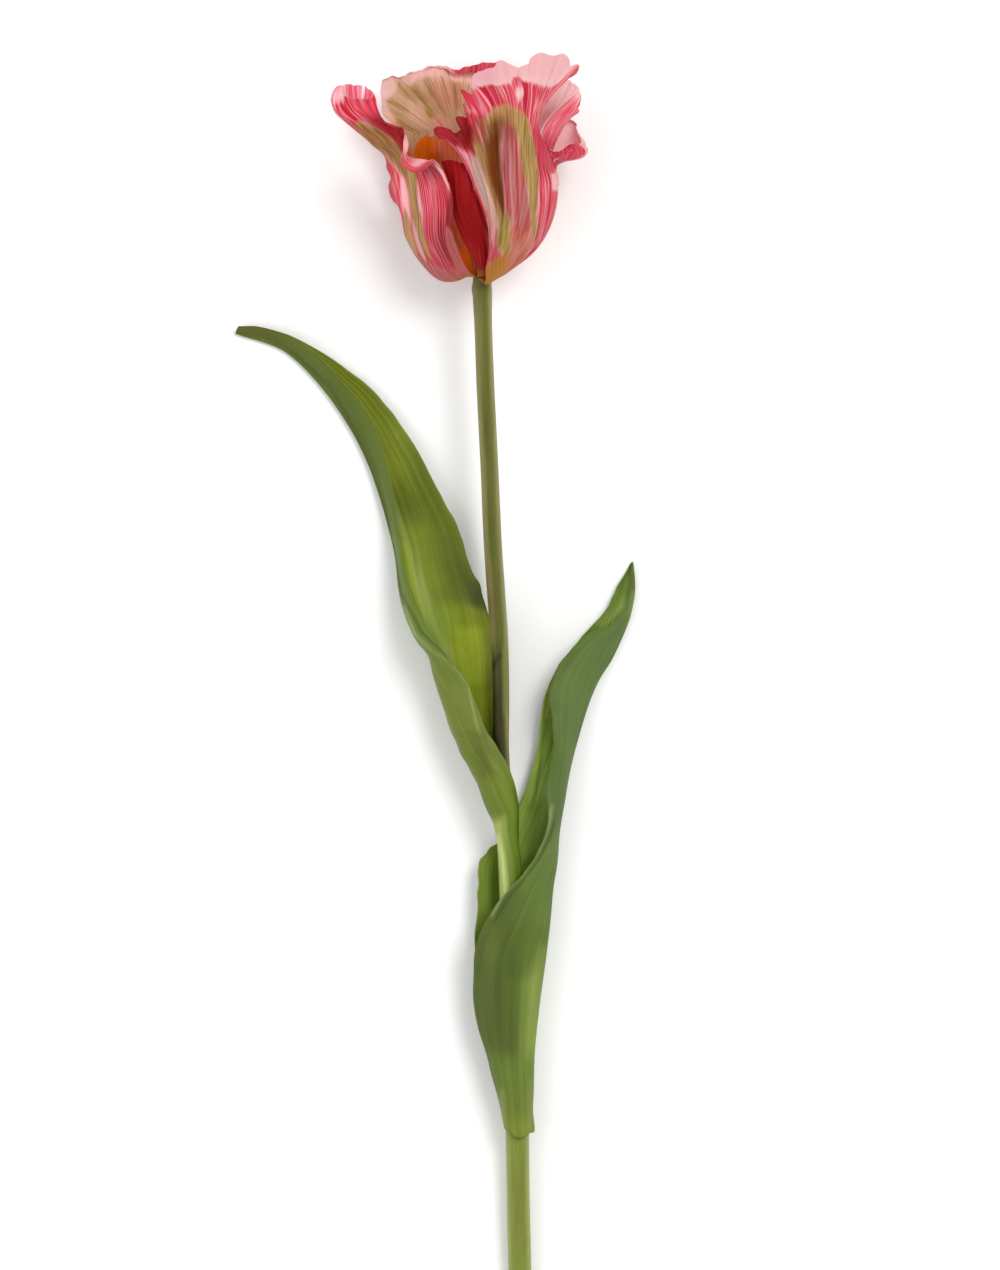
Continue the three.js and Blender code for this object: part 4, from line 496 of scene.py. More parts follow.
def leaf_material(name, veins=34.0, rough=(0.38, 0.55), spec=0.2, ribs=0.0):
    """tone = the colour laid on. A waxy blade with parallel veins."""
    m = Mat(name, 0.46, subsurface=0.03)
    m.bsdf.inputs["Specular IOR Level"].default_value = spec
    t, s = m.uv()
    vein = m.noise(m.vec(m.math("MULTIPLY", t, veins), m.math("MULTIPLY", s, 1.6), 0.4), 1.0, 2.0, 0.5)
    fine = m.noise(m.vec(m.math("MULTIPLY", t, veins * 3.2), m.math("MULTIPLY", s, 5.0), 2.2), 1.0, 2.0, 0.6)
    blot = m.noise(m.vec(m.math("MULTIPLY", t, 2.6), m.math("MULTIPLY", s, 11.0), 5.0), 1.0, 4.0, 0.6)
    c = m.node("ShaderNodeAttribute", attribute_name="tone").outputs["Color"]
    c = m.mix(1.0, c, m.mix(m.smooth(vein, 0.36, 0.64), (1.08, 1.07, 1.10, 1), (0.91, 0.93, 0.86, 1)), "MULTIPLY")
    c = m.mix(1.0, c, m.mix(m.smooth(fine, 0.36, 0.64), (1.06, 1.06, 1.06, 1), (0.93, 0.94, 0.90, 1)), "MULTIPLY")
    c = m.mix(1.0, c, m.mix(m.smooth(blot, 0.34, 0.66), (1.07, 1.04, 1.0, 1), (0.93, 0.96, 0.96, 1)), "MULTIPLY")
    m.colour(c)
    m.rough(m.smooth(blot, 0.3, 0.7, *rough))
    m.bump(m.math("ADD", vein, m.math("MULTIPLY", fine, 0.35)), 0.4, 0.0004)
    return m.m


# ---------------------------------------------------------------- organ surfaces
def organ(key, nu, nv):
    net = np.array(NETS[key], float)
    nu, nv = max(12, int(nu * FINE)), max(12, int(nv * FINE))
    a, c = even(net, 0, nu), even(net, 1, nv)
    P = cr(cr(net, c, 1), a, 0)
    A, C = np.meshgrid(a, c, indexing="ij")
    R, K = net.shape[0] - 1, net.shape[1] - 1
    return P, A, C, A / R, C / K


def push(P, amount):
    return P + normals(P) * amount[..., None]


def fringe_top(P, S, amount, start=0.9):
    """Moves the last rows along the blade by amount(t) in mm."""
    k = max(2, int(P.shape[0] * 0.06))
    d = unit(P[-1] - P[-1 - k])
    f = sm(S, start, 1.0)
    return P + d[None] * (f * amount[None, :])[..., None]


def fringe_side(P, T, amount, first=True, width=0.07):
    """Moves the columns next to a side margin outward by amount(s) in mm."""
    k = max(2, int(P.shape[1] * 0.05))
    if first:
        d, f = unit(P[:, 0] - P[:, k]), sm(width - T, 0, width)
    else:
        d, f = unit(P[:, -1] - P[:, -1 - k]), sm(T - (1 - width), 0, width)
    return P + d[:, None] * (f * amount[:, None])[..., None]


def thickness(S, T, mid, edge):
    e = np.minimum(np.minimum(T, 1 - T) / 0.18, (1 - S) / 0.12)
    return edge + (mid - edge) * sm(e, 0, 1)


def pack3(*m):
    return np.stack([np.clip(np.broadcast_to(x, m[0].shape), 0, 1) for x in m], -1)


def place(ob, *nodes, slot=None):
    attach(ob, "root")
    if nodes:
        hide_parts(*nodes)
    return ob


# ---------------------------------------------------------------- marks laid on as soft areas and lines
EYE, LEVEL, STEP = 3351.0, 20.0, 0.38
OFF = (24.24, 19.58, 0.10)
GLOW = 1.36


def plan(P):
    """Where points show from high above, in steps of 0.38 mm from the upper left corner of the sheet they lie on."""
    f = (EYE - LEVEL) / (EYE - (P[..., 2] - OFF[2])) / STEP
    return 500 + (P[..., 0] - OFF[0]) * f, 635 - (P[..., 1] - OFF[1]) * f


def slide(P, du, dv):
    """Moves points by du steps to the right and dv steps down, seen from high above."""
    k = STEP * (EYE - (P[..., 2] - OFF[2])) / (EYE - LEVEL)
    return P + np.stack([du * k, -dv * k, 0 * k], -1)


def nudge(P, moves):
    """Soft local shifts seen from above, each (x, y, right, down, radius) in steps."""
    U, V = plan(P)
    du, dv = 0, 0
    for x, y, dx, dy, r in moves:
        g = np.exp(-((U - x) ** 2 + (V - y) ** 2) / (r * r))
        du, dv = du + g * dx, dv + g * dy
    return slide(P, du, dv)


def run(o):
    return np.concatenate([[0], np.cumsum(np.linalg.norm(np.diff(o, axis=0), axis=1))])


def trace(P, side, outline, width, hug=0.35):
    """Lays one margin of the blade, seen from above, along an outline, and takes the blade next to it along."""
    Q = P if side == "top" else np.swapaxes(P, 0, 1)
    if side == "first":
        Q = Q[::-1]
    b = np.stack(plan(Q[-1]), -1)
    o = np.array(outline, float)
    w = run(o)
    q = np.linspace(0, 1, 900)
    o = np.stack([np.interp(q * w[-1], w, o[:, k]) for k in (0, 1)], -1)
    i0 = np.hypot(*(b - o[0]).T).argmin()
    i1 = np.hypot(*(b - o[-1]).T).argmin()
    part = b[i0:i1 + 1]
    a = run(part)
    a = a / a[-1]
    near = a[np.hypot(o[:, None, 0] - part[None, :, 0], o[:, None, 1] - part[None, :, 1]).argmin(1)]
    r = (1 - hug) * np.maximum.accumulate(near) + hug * q
    r = (r - r[0]) / (r[-1] - r[0])
    d = np.zeros_like(b)
    d[i0:i1 + 1] = np.stack([np.interp(a, r, o[:, k]) for k in (0, 1)], -1) - part
    f = sm(np.linspace(0, 1, Q.shape[0]), 1 - width, 1)[:, None]
    Q = slide(Q, f * d[None, :, 0], f * d[None, :, 1])
    if side == "first":
        Q = Q[::-1]
    return Q if side == "top" else np.swapaxes(Q, 0, 1)


def reach(U, V, pts, w, close=False):
    """How far inside a line of half width w each point is, negative outside."""
    best = np.full(U.shape, -1e9)
    pts = [tuple(p) + (w,) * (3 - len(p)) for p in pts]
    for a, b in zip(pts, pts[1:] + ([pts[0]] if close else [])):
        dx, dy = b[0] - a[0], b[1] - a[1]
        k = np.clip(((U - a[0]) * dx + (V - a[1]) * dy) / max(dx * dx + dy * dy, 1e-9), 0, 1)
        best = np.maximum(best, a[2] + (b[2] - a[2]) * k - np.hypot(U - a[0] - k * dx, V - a[1] - k * dy))
    return best


def inside(U, V, pts):
    odd = np.zeros(U.shape, bool)
    for a, b in zip(pts, pts[1:] + pts[:1]):
        hit = (a[1] > V) != (b[1] > V)
        x = a[0] + (V - a[1]) * (b[0] - a[0]) / (b[1] - a[1] if b[1] != a[1] else 1e-9)
        odd ^= hit & (U < x)
    return odd


def blur(n, step, size):
    x = np.arange(n) * step
    g = np.exp(-0.5 * ((x[:, None] - x[None]) / size) ** 2)
    return g / g.sum(1, keepdims=True)


def relax(P, spots, rows=4.0, cols=2.0):
    """Irons out small creases around each (x, y, radius), over some cells along and across."""
    U, V = plan(P)
    Q = np.einsum("ij,jkc,lk->ilc", blur(P.shape[0], 1.0, rows), P, blur(P.shape[1], 1.0, cols))
    g = 0
    for x, y, r in spots:
        g = np.maximum(g, np.exp(-((U - x) ** 2 + (V - y) ** 2) / (r * r)))
    return P + (Q - P) * g[..., None]


class Paint:
    """Marks on one skin of a blade, in the end spread a little along the blade so that they feather out."""
    KEYS = ("red", "olive", "pale", "warm", "brown_and_shade", "white", "lines", "deep_and_shade", "dusky")

    def __init__(self, P, spread=(2.2, 0.32), **base):
        self.U, self.V = plan(P)
        rows, cols = np.linalg.norm(np.diff(P, axis=0), axis=2).mean(), np.linalg.norm(np.diff(P, axis=1), axis=2).mean()
        self.G, self.H = blur(P.shape[0], rows, spread[0]), blur(P.shape[1], cols, spread[1])
        self.v = {k: np.full(self.U.shape, float(base.get(k, 0))) for k in self.KEYS}
        self.tint_and_shading = np.ones(self.U.shape + (3,)) * np.array(base.get("tint_and_shading", (1, 1, 1)))

    def on(self, m, **to):
        for k, x in to.items():
            if k == "tint_and_shading":
                self.tint_and_shading = self.tint_and_shading + (np.array(x) - self.tint_and_shading) * m[..., None]
            else:
                self.v[k] = self.v[k] + (x - self.v[k]) * m
        return self

    def line(self, pts, w=1.2, soft=1.6, **to):
        return self.on(sm(reach(self.U, self.V, pts, w), -0.65 * soft, 0.65 * soft), **to)

    def area(self, pts, soft=3.0, **to):
        d = -reach(self.U, self.V, pts, 0.0, True)
        return self.on(sm(np.where(inside(self.U, self.V, pts), d, -d), -0.85 * soft, 0.85 * soft), **to)

    def flame(self, S, T, mid=0.5, half=0.1, top=0.8, base=0.22):
        """The usual look of a tepal: an olive flame up the middle, a warm base and a pale margin."""
        self.on(bump(T, mid, half) * sm(S, base, base + 0.12) * sm(S, top + 0.08, top - 0.08), olive=1.0, lines=0.3)
        self.on(bump(T, mid - 1.7 * half, 0.35 * half) * sm(S, base + 0.05, base + 0.2) * sm(S, top, top - 0.15), white=0.7)
        self.on(sm(np.minimum(T, 1 - T), 0.07, 0.0) * sm(S, 0.35, 0.5), pale=0.6)
        self.on(sm(S, 0.88, 0.99), pale=0.85)
        return self.on(sm(S, base + 0.03, base - 0.12), warm=1.0)

    def marks(self):
        v = {k: self.G @ x @ self.H.T for k, x in self.v.items()}
        tint_and_shading = np.stack([self.G @ self.tint_and_shading[..., k] @ self.H.T for k in range(3)], -1)
        return {"mkA": np.stack([v["red"], v["olive"], v["pale"]], -1), "mkB": np.stack([v["warm"], v["brown_and_shade"], v["white"]], -1),
                "mkC": np.stack([v["lines"], v["deep_and_shade"], v["dusky"]], -1), "tint_and_shading": tint_and_shading}


class Tone:
    """Colours laid on one skin as soft areas and lines, among them painted shade and painted light."""

    def __init__(self, P, base):
        self.U, self.V = plan(P)
        self.c = np.ones(self.U.shape + (3,)) * self.pot(base)

    @staticmethod
    def pot(c):
        return np.array(lin(*c)[:3]) / GLOW

    def on(self, m, c):
        self.c = self.c + (self.pot(c) - self.c) * m[..., None]
        return self

    def shade(self, m, f):
        self.c = self.c * (1 + (np.array(f) - 1) * m[..., None])
        return self

    def line(self, pts, w, soft, c, k=1.0):
        return self.on(k * sm(reach(self.U, self.V, pts, w), -soft / 2, soft / 2), c)

    def area(self, pts, soft, c, k=1.0):
        d = -reach(self.U, self.V, pts, 0.0, True)
        return self.on(k * sm(np.where(inside(self.U, self.V, pts), d, -d), -soft, soft), c)



# ---------------------------------------------------------------- stem
def build_stem():
    T = np.array(STEM, float)
    n = int(240 * max(FINE, 0.6))
    t = even(T[:, None, :3], 0, n)
    Q = cr(T[:, None, :], t, 0)[:, 0]
    path, r = Q[:, :3], Q[:, 3]
    s = np.linspace(0, 1, n + 1)
    r = r * (1 + 0.012 * wobble(s, 3, 8, 3, 18))
    up, vp = plan(path)
    r = r + 0.38 * sm(vp, 330, 290) * sm(vp, 270, 278) + 0.2 * sm(vp, 290, 330) * sm(vp, 660, 620) + 0.42 * sm(vp, 297, 285) * sm(vp, 270, 277)
    path[:, 0] -= 0.42 * sm(vp, 297, 285)
    order = np.argsort(vp)

    def paint(X):
        U, V = plan(X)
        e = (U - np.interp(V, vp[order], up[order])) / np.maximum(np.interp(V, vp[order], r[order]) / STEP, 1.0)
        a = np.abs(e)
        o = Tone(X, (95, 102, 26))
        o.on(sm(V, 760, 1120), (132, 145, 54))
        # painted light: both sides of the stem are painted lighter, as light falling on them from the sides
        o.on(sm(a, 0.25, 1.0) * sm(V, 1150, 700), (164, 160, 106))
        o.on(sm(a, 0.35, 1.05) * sm(V, 700, 1150), (168, 180, 104))
        o.on(0.5 * sm(e, 0.3, -0.6) * sm(V, 330, 300), (92, 84, 62))
        o.on(0.4 * bump(e, -0.6, 0.4) * bump(V, 350, 40), (150, 130, 84))
        o.on(0.35 * bump(e, 0.55, 0.5) * bump(V, 470, 60), (132, 122, 74))
        o.on(0.5 * bump(e, -0.45, 0.45) * sm(V, 420, 330), (128, 128, 60))
        o.on(0.65 * bump(e, -0.6, 0.5) * bump(V, 602, 40), (126, 102, 54))
        # painted shade: a dark strip down the stem and dark lines beside it, where the leaves shade the stem
        o.on(0.85 * sm(e, 0.6, -0.1) * sm(V, 628, 665) * sm(V, 900, 800), (60, 56, 10))
        o.on(0.85 * sm(e, 0.75, -0.05) * sm(V, 668, 700) * sm(V, 900, 800), (56, 52, 12))
        o.on(0.6 * sm(e, -0.05, 0.45) * sm(V, 640, 656) * sm(V, 724, 704), (128, 134, 66))
        o.on(0.8 * sm(e, 1.2, 0.2) * sm(V, 712, 750) * sm(V, 900, 800), (56, 52, 12))
        o.line([(493, 668), (497, 660), (500, 655)], 2.2, 3, (50, 34, 12), 0.8)
        o.line([(495, 705), (499, 715), (498, 730)], 2.5, 5, (52, 40, 14), 0.6)
        o.on(0.3 * bump(e, 0, 0.6) * bump(V, 1215, 35), (130, 128, 60))
        return o.c
    m = Mat("stem_skin", 0.42, subsurface=0.03)
    m.bsdf.inputs["Specular IOR Level"].default_value = 0.22
    tc = m.node("ShaderNodeTexCoord")
    sx = m.node("ShaderNodeSeparateXYZ")
    m.put(sx.inputs[0], tc.outputs["Object"])
    x, y, z = sx.outputs
    streak = m.noise(m.vec(m.math("MULTIPLY", x, 900.0), m.math("MULTIPLY", y, 14.0), m.math("MULTIPLY", z, 900.0)), 1.0, 2.0, 0.6)
    mottle = m.noise(m.vec(m.math("MULTIPLY", x, 200.0), m.math("MULTIPLY", y, 40.0), m.math("MULTIPLY", z, 200.0)), 1.0, 3.0, 0.6)
    c = m.node("ShaderNodeAttribute", attribute_name="tone").outputs["Color"]
    c = m.mix(1.0, c, m.mix(m.smooth(streak, 0.36, 0.64), (1.06, 1.06, 1.08, 1), (0.93, 0.92, 0.88, 1)), "MULTIPLY")
    c = m.mix(1.0, c, m.mix(m.smooth(mottle, 0.36, 0.64), (1.05, 1.06, 1.04, 1), (0.95, 0.93, 0.94, 1)), "MULTIPLY")
    m.colour(c)
    m.rough(m.smooth(mottle, 0.3, 0.7, 0.38, 0.52))
    m.bump(m.math("ADD", streak, m.math("MULTIPLY", mottle, 0.6)), 0.25, 0.0004)
    e = Mat("stem_cut", 0.5, subsurface=0.1)
    tc = e.node("ShaderNodeTexCoord")
    dots = e.noise(tc.outputs["Object"], 1500.0, 2.0, 0.5)
    e.colour(e.mix(e.smooth(dots, 0.45, 0.65), lin(190, 200, 130), lin(144, 158, 84)))
    e.bump(dots, 0.4, 0.0003)
    ob = tube("stem_green_stalk", path, r, 48, (m.m, e.m), lambda w, s: 1 + 0.010 * np.cos(7 * w + 3 * s) + 0.006 * np.cos(13 * w), paint)
    place(ob, "stem", slot="stem_green")


# ---------------------------------------------------------------- leaves
def leaf(key, node, mats, slot, seed, face, back, wave=0.35, moves=()):
    """face: lays colour on the +N skin, back: on the other."""
    P, A, C, S, T = organ(key, 300, 72)
    edge = sm(np.abs(T - 0.5), 0.36, 0.5)
    free = sm(S, 0.12, 0.3)
    P = push(P, 0.05 * np.cos(2 * np.pi * 15 * T) * free + wave * edge * wobble(S, seed, 7, 3, 12) * free)
    for first in (True, False):
        P = fringe_side(P, T, 0.25 * wobble(S[:, 0], seed + 9 + first, 8, 6, 30) * free[:, 0], first, 0.06)
    P = nudge(P, moves)
    P[..., 2] = np.maximum(P[..., 2], 0.32)
    th = thickness(S, T, 0.75, 0.3)
    ob = sheet(node + "_blade", P, th, np.stack([T, S], -1), {"tone": (face(P, S, T) * (1, 1, 0.74), back(P, S, T) * (1, 1, 0.74))}, mats)
    place(ob, node, slot=slot)
    return ob


def build_leaves():
    blade = leaf_material("upper_leaf_skin", 30)
    cool = leaf_material("lower_leaf_skin", 36, (0.42, 0.6), 0.22)

    def upper_out(P, S, T):
        o = Tone(P, (112, 126, 52))
        o.area([(215, 295), (290, 315), (300, 360), (225, 350)], 26, (101, 105, 45))
        o.area([(290, 333), (335, 358), (375, 430), (394, 500), (388, 540), (362, 475), (330, 405), (292, 362)], 14, (97, 114, 42))
        o.line([(262, 340), (300, 362), (335, 408), (362, 465), (384, 530)], 1.6, 3, (122, 136, 62), 0.6)
        # painted shade: a dark band along the fold, where the folded margin shades the face
        o.line([(292, 352), (330, 384), (358, 436), (378, 490), (391, 534)], 2.2, 5, (74, 92, 30), 0.6)
        o.area([(384, 530), (402, 540), (412, 600), (450, 650), (452, 664), (425, 650), (402, 610)], 8, (112, 134, 54))
        o.line([(394, 545), (402, 592), (422, 632), (448, 658)], 1.2, 2.5, (84, 102, 38))
        o.line([(404, 606), (416, 634), (434, 653), (452, 664)], 1.6, 2.5, (146, 162, 100))
        o.area([(428, 650), (458, 662), (478, 700), (500, 760), (516, 830), (494, 815), (462, 750), (440, 700)], 8, (117, 130, 60))
        o.area([(428, 655), (442, 665), (462, 725), (486, 780), (476, 780), (450, 730), (432, 690)], 10, (124, 139, 56))
        o.line([(452, 664), (468, 684), (474, 716), (484, 748), (498, 772)], 1.3, 2, (148, 162, 102), 0.8)
        o.area([(484, 776), (514, 756), (524, 850), (500, 850)], 14, (114, 132, 48))
        o.area([(490, 822), (505, 818), (512, 905), (494, 905)], 8, (176, 192, 120))
        o.line([(498, 836), (503, 858), (507, 892)], 2.4, 5, (206, 218, 158), 0.9)
        o.area([(470, 732), (484, 732), (496, 776), (482, 776)], 8, (98, 110, 42))
        o.area([(506, 800), (524, 790), (524, 905), (512, 905)], 7, (110, 134, 42))
        return o.c

    def upper_in(P, S, T):
        o = Tone(P, (114, 127, 34))
        o.area([(290, 335), (345, 366), (406, 432), (412, 490), (388, 490), (362, 424), (318, 362)], 16, (158, 170, 66))
        o.line([(312, 356), (340, 396), (366, 446), (386, 510)], 3.0, 6, (98, 112, 28), 0.8)
        o.area([(396, 478), (440, 498), (472, 580), (440, 592), (408, 562)], 18, (113, 125, 30))
        o.area([(400, 520), (424, 530), (440, 590), (424, 604), (406, 570)], 14, (140, 158, 42))
        o.line([(405, 546, 1.5), (412, 572, 5.0), (421, 597, 7.5), (432, 620, 7.0), (446, 646, 3.0)], 5, 15, (162, 180, 70), 0.9)
        # painted shade: the pocket where the right margin creases over is painted darker
        o.area([(448, 540), (482, 590), (494, 626), (472, 606), (456, 580)], 10, (94, 106, 34))
        o.area([(468, 582), (484, 588), (490, 606), (474, 600)], 8, (80, 94, 30))
        o.area([(428, 602), (462, 604), (490, 628), (494, 660), (482, 740), (455, 680)], 12, (148, 166, 44))
        o.line([(447, 597), (465, 602), (488, 624)], 1.4, 4, (120, 134, 38), 0.6)
        o.area([(459, 630), (486, 622), (490, 660), (484, 686), (466, 684)], 9, (182, 196, 64))
        o.area([(466, 606), (488, 612), (490, 628), (468, 624)], 6, (152, 166, 50))
        # painted light: a lighter patch that offsets the shade the stem casts on this strip
        o.area([(474, 692), (495, 690), (495, 745), (482, 740)], 9, (164, 182, 42))
        o.on(sm(S, 0.3, 0.12), (96, 112, 34))
        return o.c

    def lower_in(P, S, T):
        o = Tone(P, (118, 142, 52))
        o.area([(580, 650), (632, 605), (636, 565), (606, 600)], 8, (122, 144, 70))
        o.area([(596, 622), (622, 598), (630, 606), (606, 632)], 9, (160, 180, 104))
        # painted light: the hollow under the margin is painted lighter to offset its shade
        o.area([(538, 700), (552, 688), (552, 800), (530, 850), (512, 862), (518, 800)], 9, (176, 206, 108))
        # painted shade: a dark line along the crease
        o.line([(551, 780), (549, 815), (540, 842), (524, 866)], 2.0, 6, (96, 118, 40), 0.8)
        # painted light in the hollow, as above
        o.line([(548, 690), (540, 740), (524, 800)], 3.0, 6, (168, 194, 106))
        o.line([(546, 720), (536, 790), (524, 840)], 1.2, 4, (80, 100, 34), 0.6)
        # painted light in the hollow, as above
        o.area([(524, 800), (548, 800), (540, 850), (512, 868)], 12, (142, 168, 66))
        o.area([(474, 846), (504, 836), (504, 930), (474, 930)], 6, (134, 158, 68))
        o.line([(478, 864), (484, 852), (498, 838)], 2.0, 3, (136, 146, 84), 0.8)
        o.on(sm(S, 0.14, 0.05), (90, 106, 40))
        return o.c

    def lower_out(P, S, T):
        o = Tone(P, (96, 116, 48))
        # painted shade: a dark line along the fold
        o.line([(633, 612), (614, 624), (592, 638), (572, 656), (557, 680)], 0.8, 2.2, (66, 84, 44), 0.7)
        o.area([(588, 640), (636, 588), (634, 640), (604, 700), (578, 800), (538, 800), (546, 700)], 16, (101, 124, 72))
        o.line([(634, 596), (632, 640), (612, 690), (590, 750)], 4.5, 10, (130, 156, 76), 0.8)
        o.area([(544, 690), (562, 690), (566, 830), (540, 840)], 14, (90, 112, 58))
        o.area([(514, 880), (548, 830), (560, 860), (548, 940)], 18, (104, 128, 60))
        o.area([(474, 910), (502, 905), (502, 1060), (474, 1020)], 16, (98, 112, 44))
        o.area([(480, 970), (506, 965), (514, 1055), (492, 1045)], 16, (84, 97, 38))
        o.area([(527, 985), (543, 950), (538, 1080), (524, 1080)], 13, (150, 168, 90))
        o.area([(492, 890), (518, 884), (517, 975), (494, 975)], 12, (80, 97, 34), 0.8)
        o.area([(472, 925), (488, 925), (490, 975), (476, 975)], 7, (84, 100, 38), 0.8)
        o.area([(496, 1060), (536, 1060), (538, 1150), (500, 1150)], 16, (114, 132, 56))
        o.area([(496, 1118), (536, 1118), (538, 1160), (500, 1160)], 10, (130, 144, 56))
        o.line([(531, 1080), (530, 1135)], 3.0, 6, (136, 152, 86), 0.8)
        o.line([(503, 1090), (505, 1135)], 2.0, 4, (140, 152, 88), 0.7)
        o.line([(552, 806, 1.5), (547, 826, 3.4), (536, 850, 3.6), (518, 874, 3.2), (503, 894, 2.2), (492, 916, 1.0)], 3.0, 3, (134, 150, 112), 0.9)
        # painted shade: a dark line beneath the pale margin edge
        o.line([(553, 822), (549, 838), (538, 860), (521, 883), (506, 901), (495, 921)], 1.0, 2.6, (66, 84, 36), 0.8)
        return o.c
    leaf("LEAF_UPPER", "leaf_upper", (blade, blade), "leaf_green", 21, upper_out, upper_in,
         moves=[(425, 655, 3.0, -1, 13), (478, 585, 2.6, -1.5, 9), (238, 330, -3, 0, 9), (252, 322, 0, -1, 14), (248, 341, 0, 1.5, 10), (455, 525, 1.5, -0.8, 16), (418, 458, 1.0, -0.6, 20), (474, 785, 2.2, -1, 14),
                (491, 822, 1.2, 0, 9), (513, 765, 2.4, 0, 15), (507, 784, 2.4, 0, 12), (453, 744, 2.2, -0.6, 11), (464, 766, 1.6, -0.4, 9), (412, 590, 0.3, 0, 12), (385, 405, -1, 0.8, 10), (352, 370, -0.6, 0.8, 14)])
    leaf("LEAF_LOWER", "leaf_lower", (cool, cool), "leaf_dark", 33, lower_in, lower_out,
         moves=[(480, 862, -2, -2, 8), (491, 850, -1.2, -3, 6), (536, 745, 2.6, 0, 20), (475, 935, -1.6, 0, 13), (472, 975, 1.3, 0, 15), (482, 1055, 2.0, 0, 18), (497, 1100, 0.4, 0, 10), (502, 1122, -2.6, 0, 11), (532, 1126, 3.0, 0, 11), (504, 1112, 0, 20, 15), (519, 1122, 0, 12, 10),
                (585, 632, -1, -1, 13), (560, 662, -1.5, -1, 12), (563, 830, -1.0, 0, 28), (632, 558, 0.5, -1.5, 6)])


# ---------------------------------------------------------------- tepals
def pleats(T, S, n, amp, seed):
    return amp * np.cos(2 * np.pi * (n * T + 0.25 * wobble(S, seed, 4, 0.5, 2.5))) * sm(S, 0.08, 0.3)


def tepal(node, mats, slot, P, S, T, face, back, mid=0.55, edge=0.22, st=None):
    """face: the marks of the +N skin, back: those of the other."""
    th = thickness(S, T, mid, edge)
    a, b = face.marks(), back.marks()
    ob = sheet(node + "_blade", P, th, np.stack([T, S], -1) if st is None else st, {k: (a[k], b[k]) for k in a}, mats)
    place(ob, node, slot=slot)
    return ob


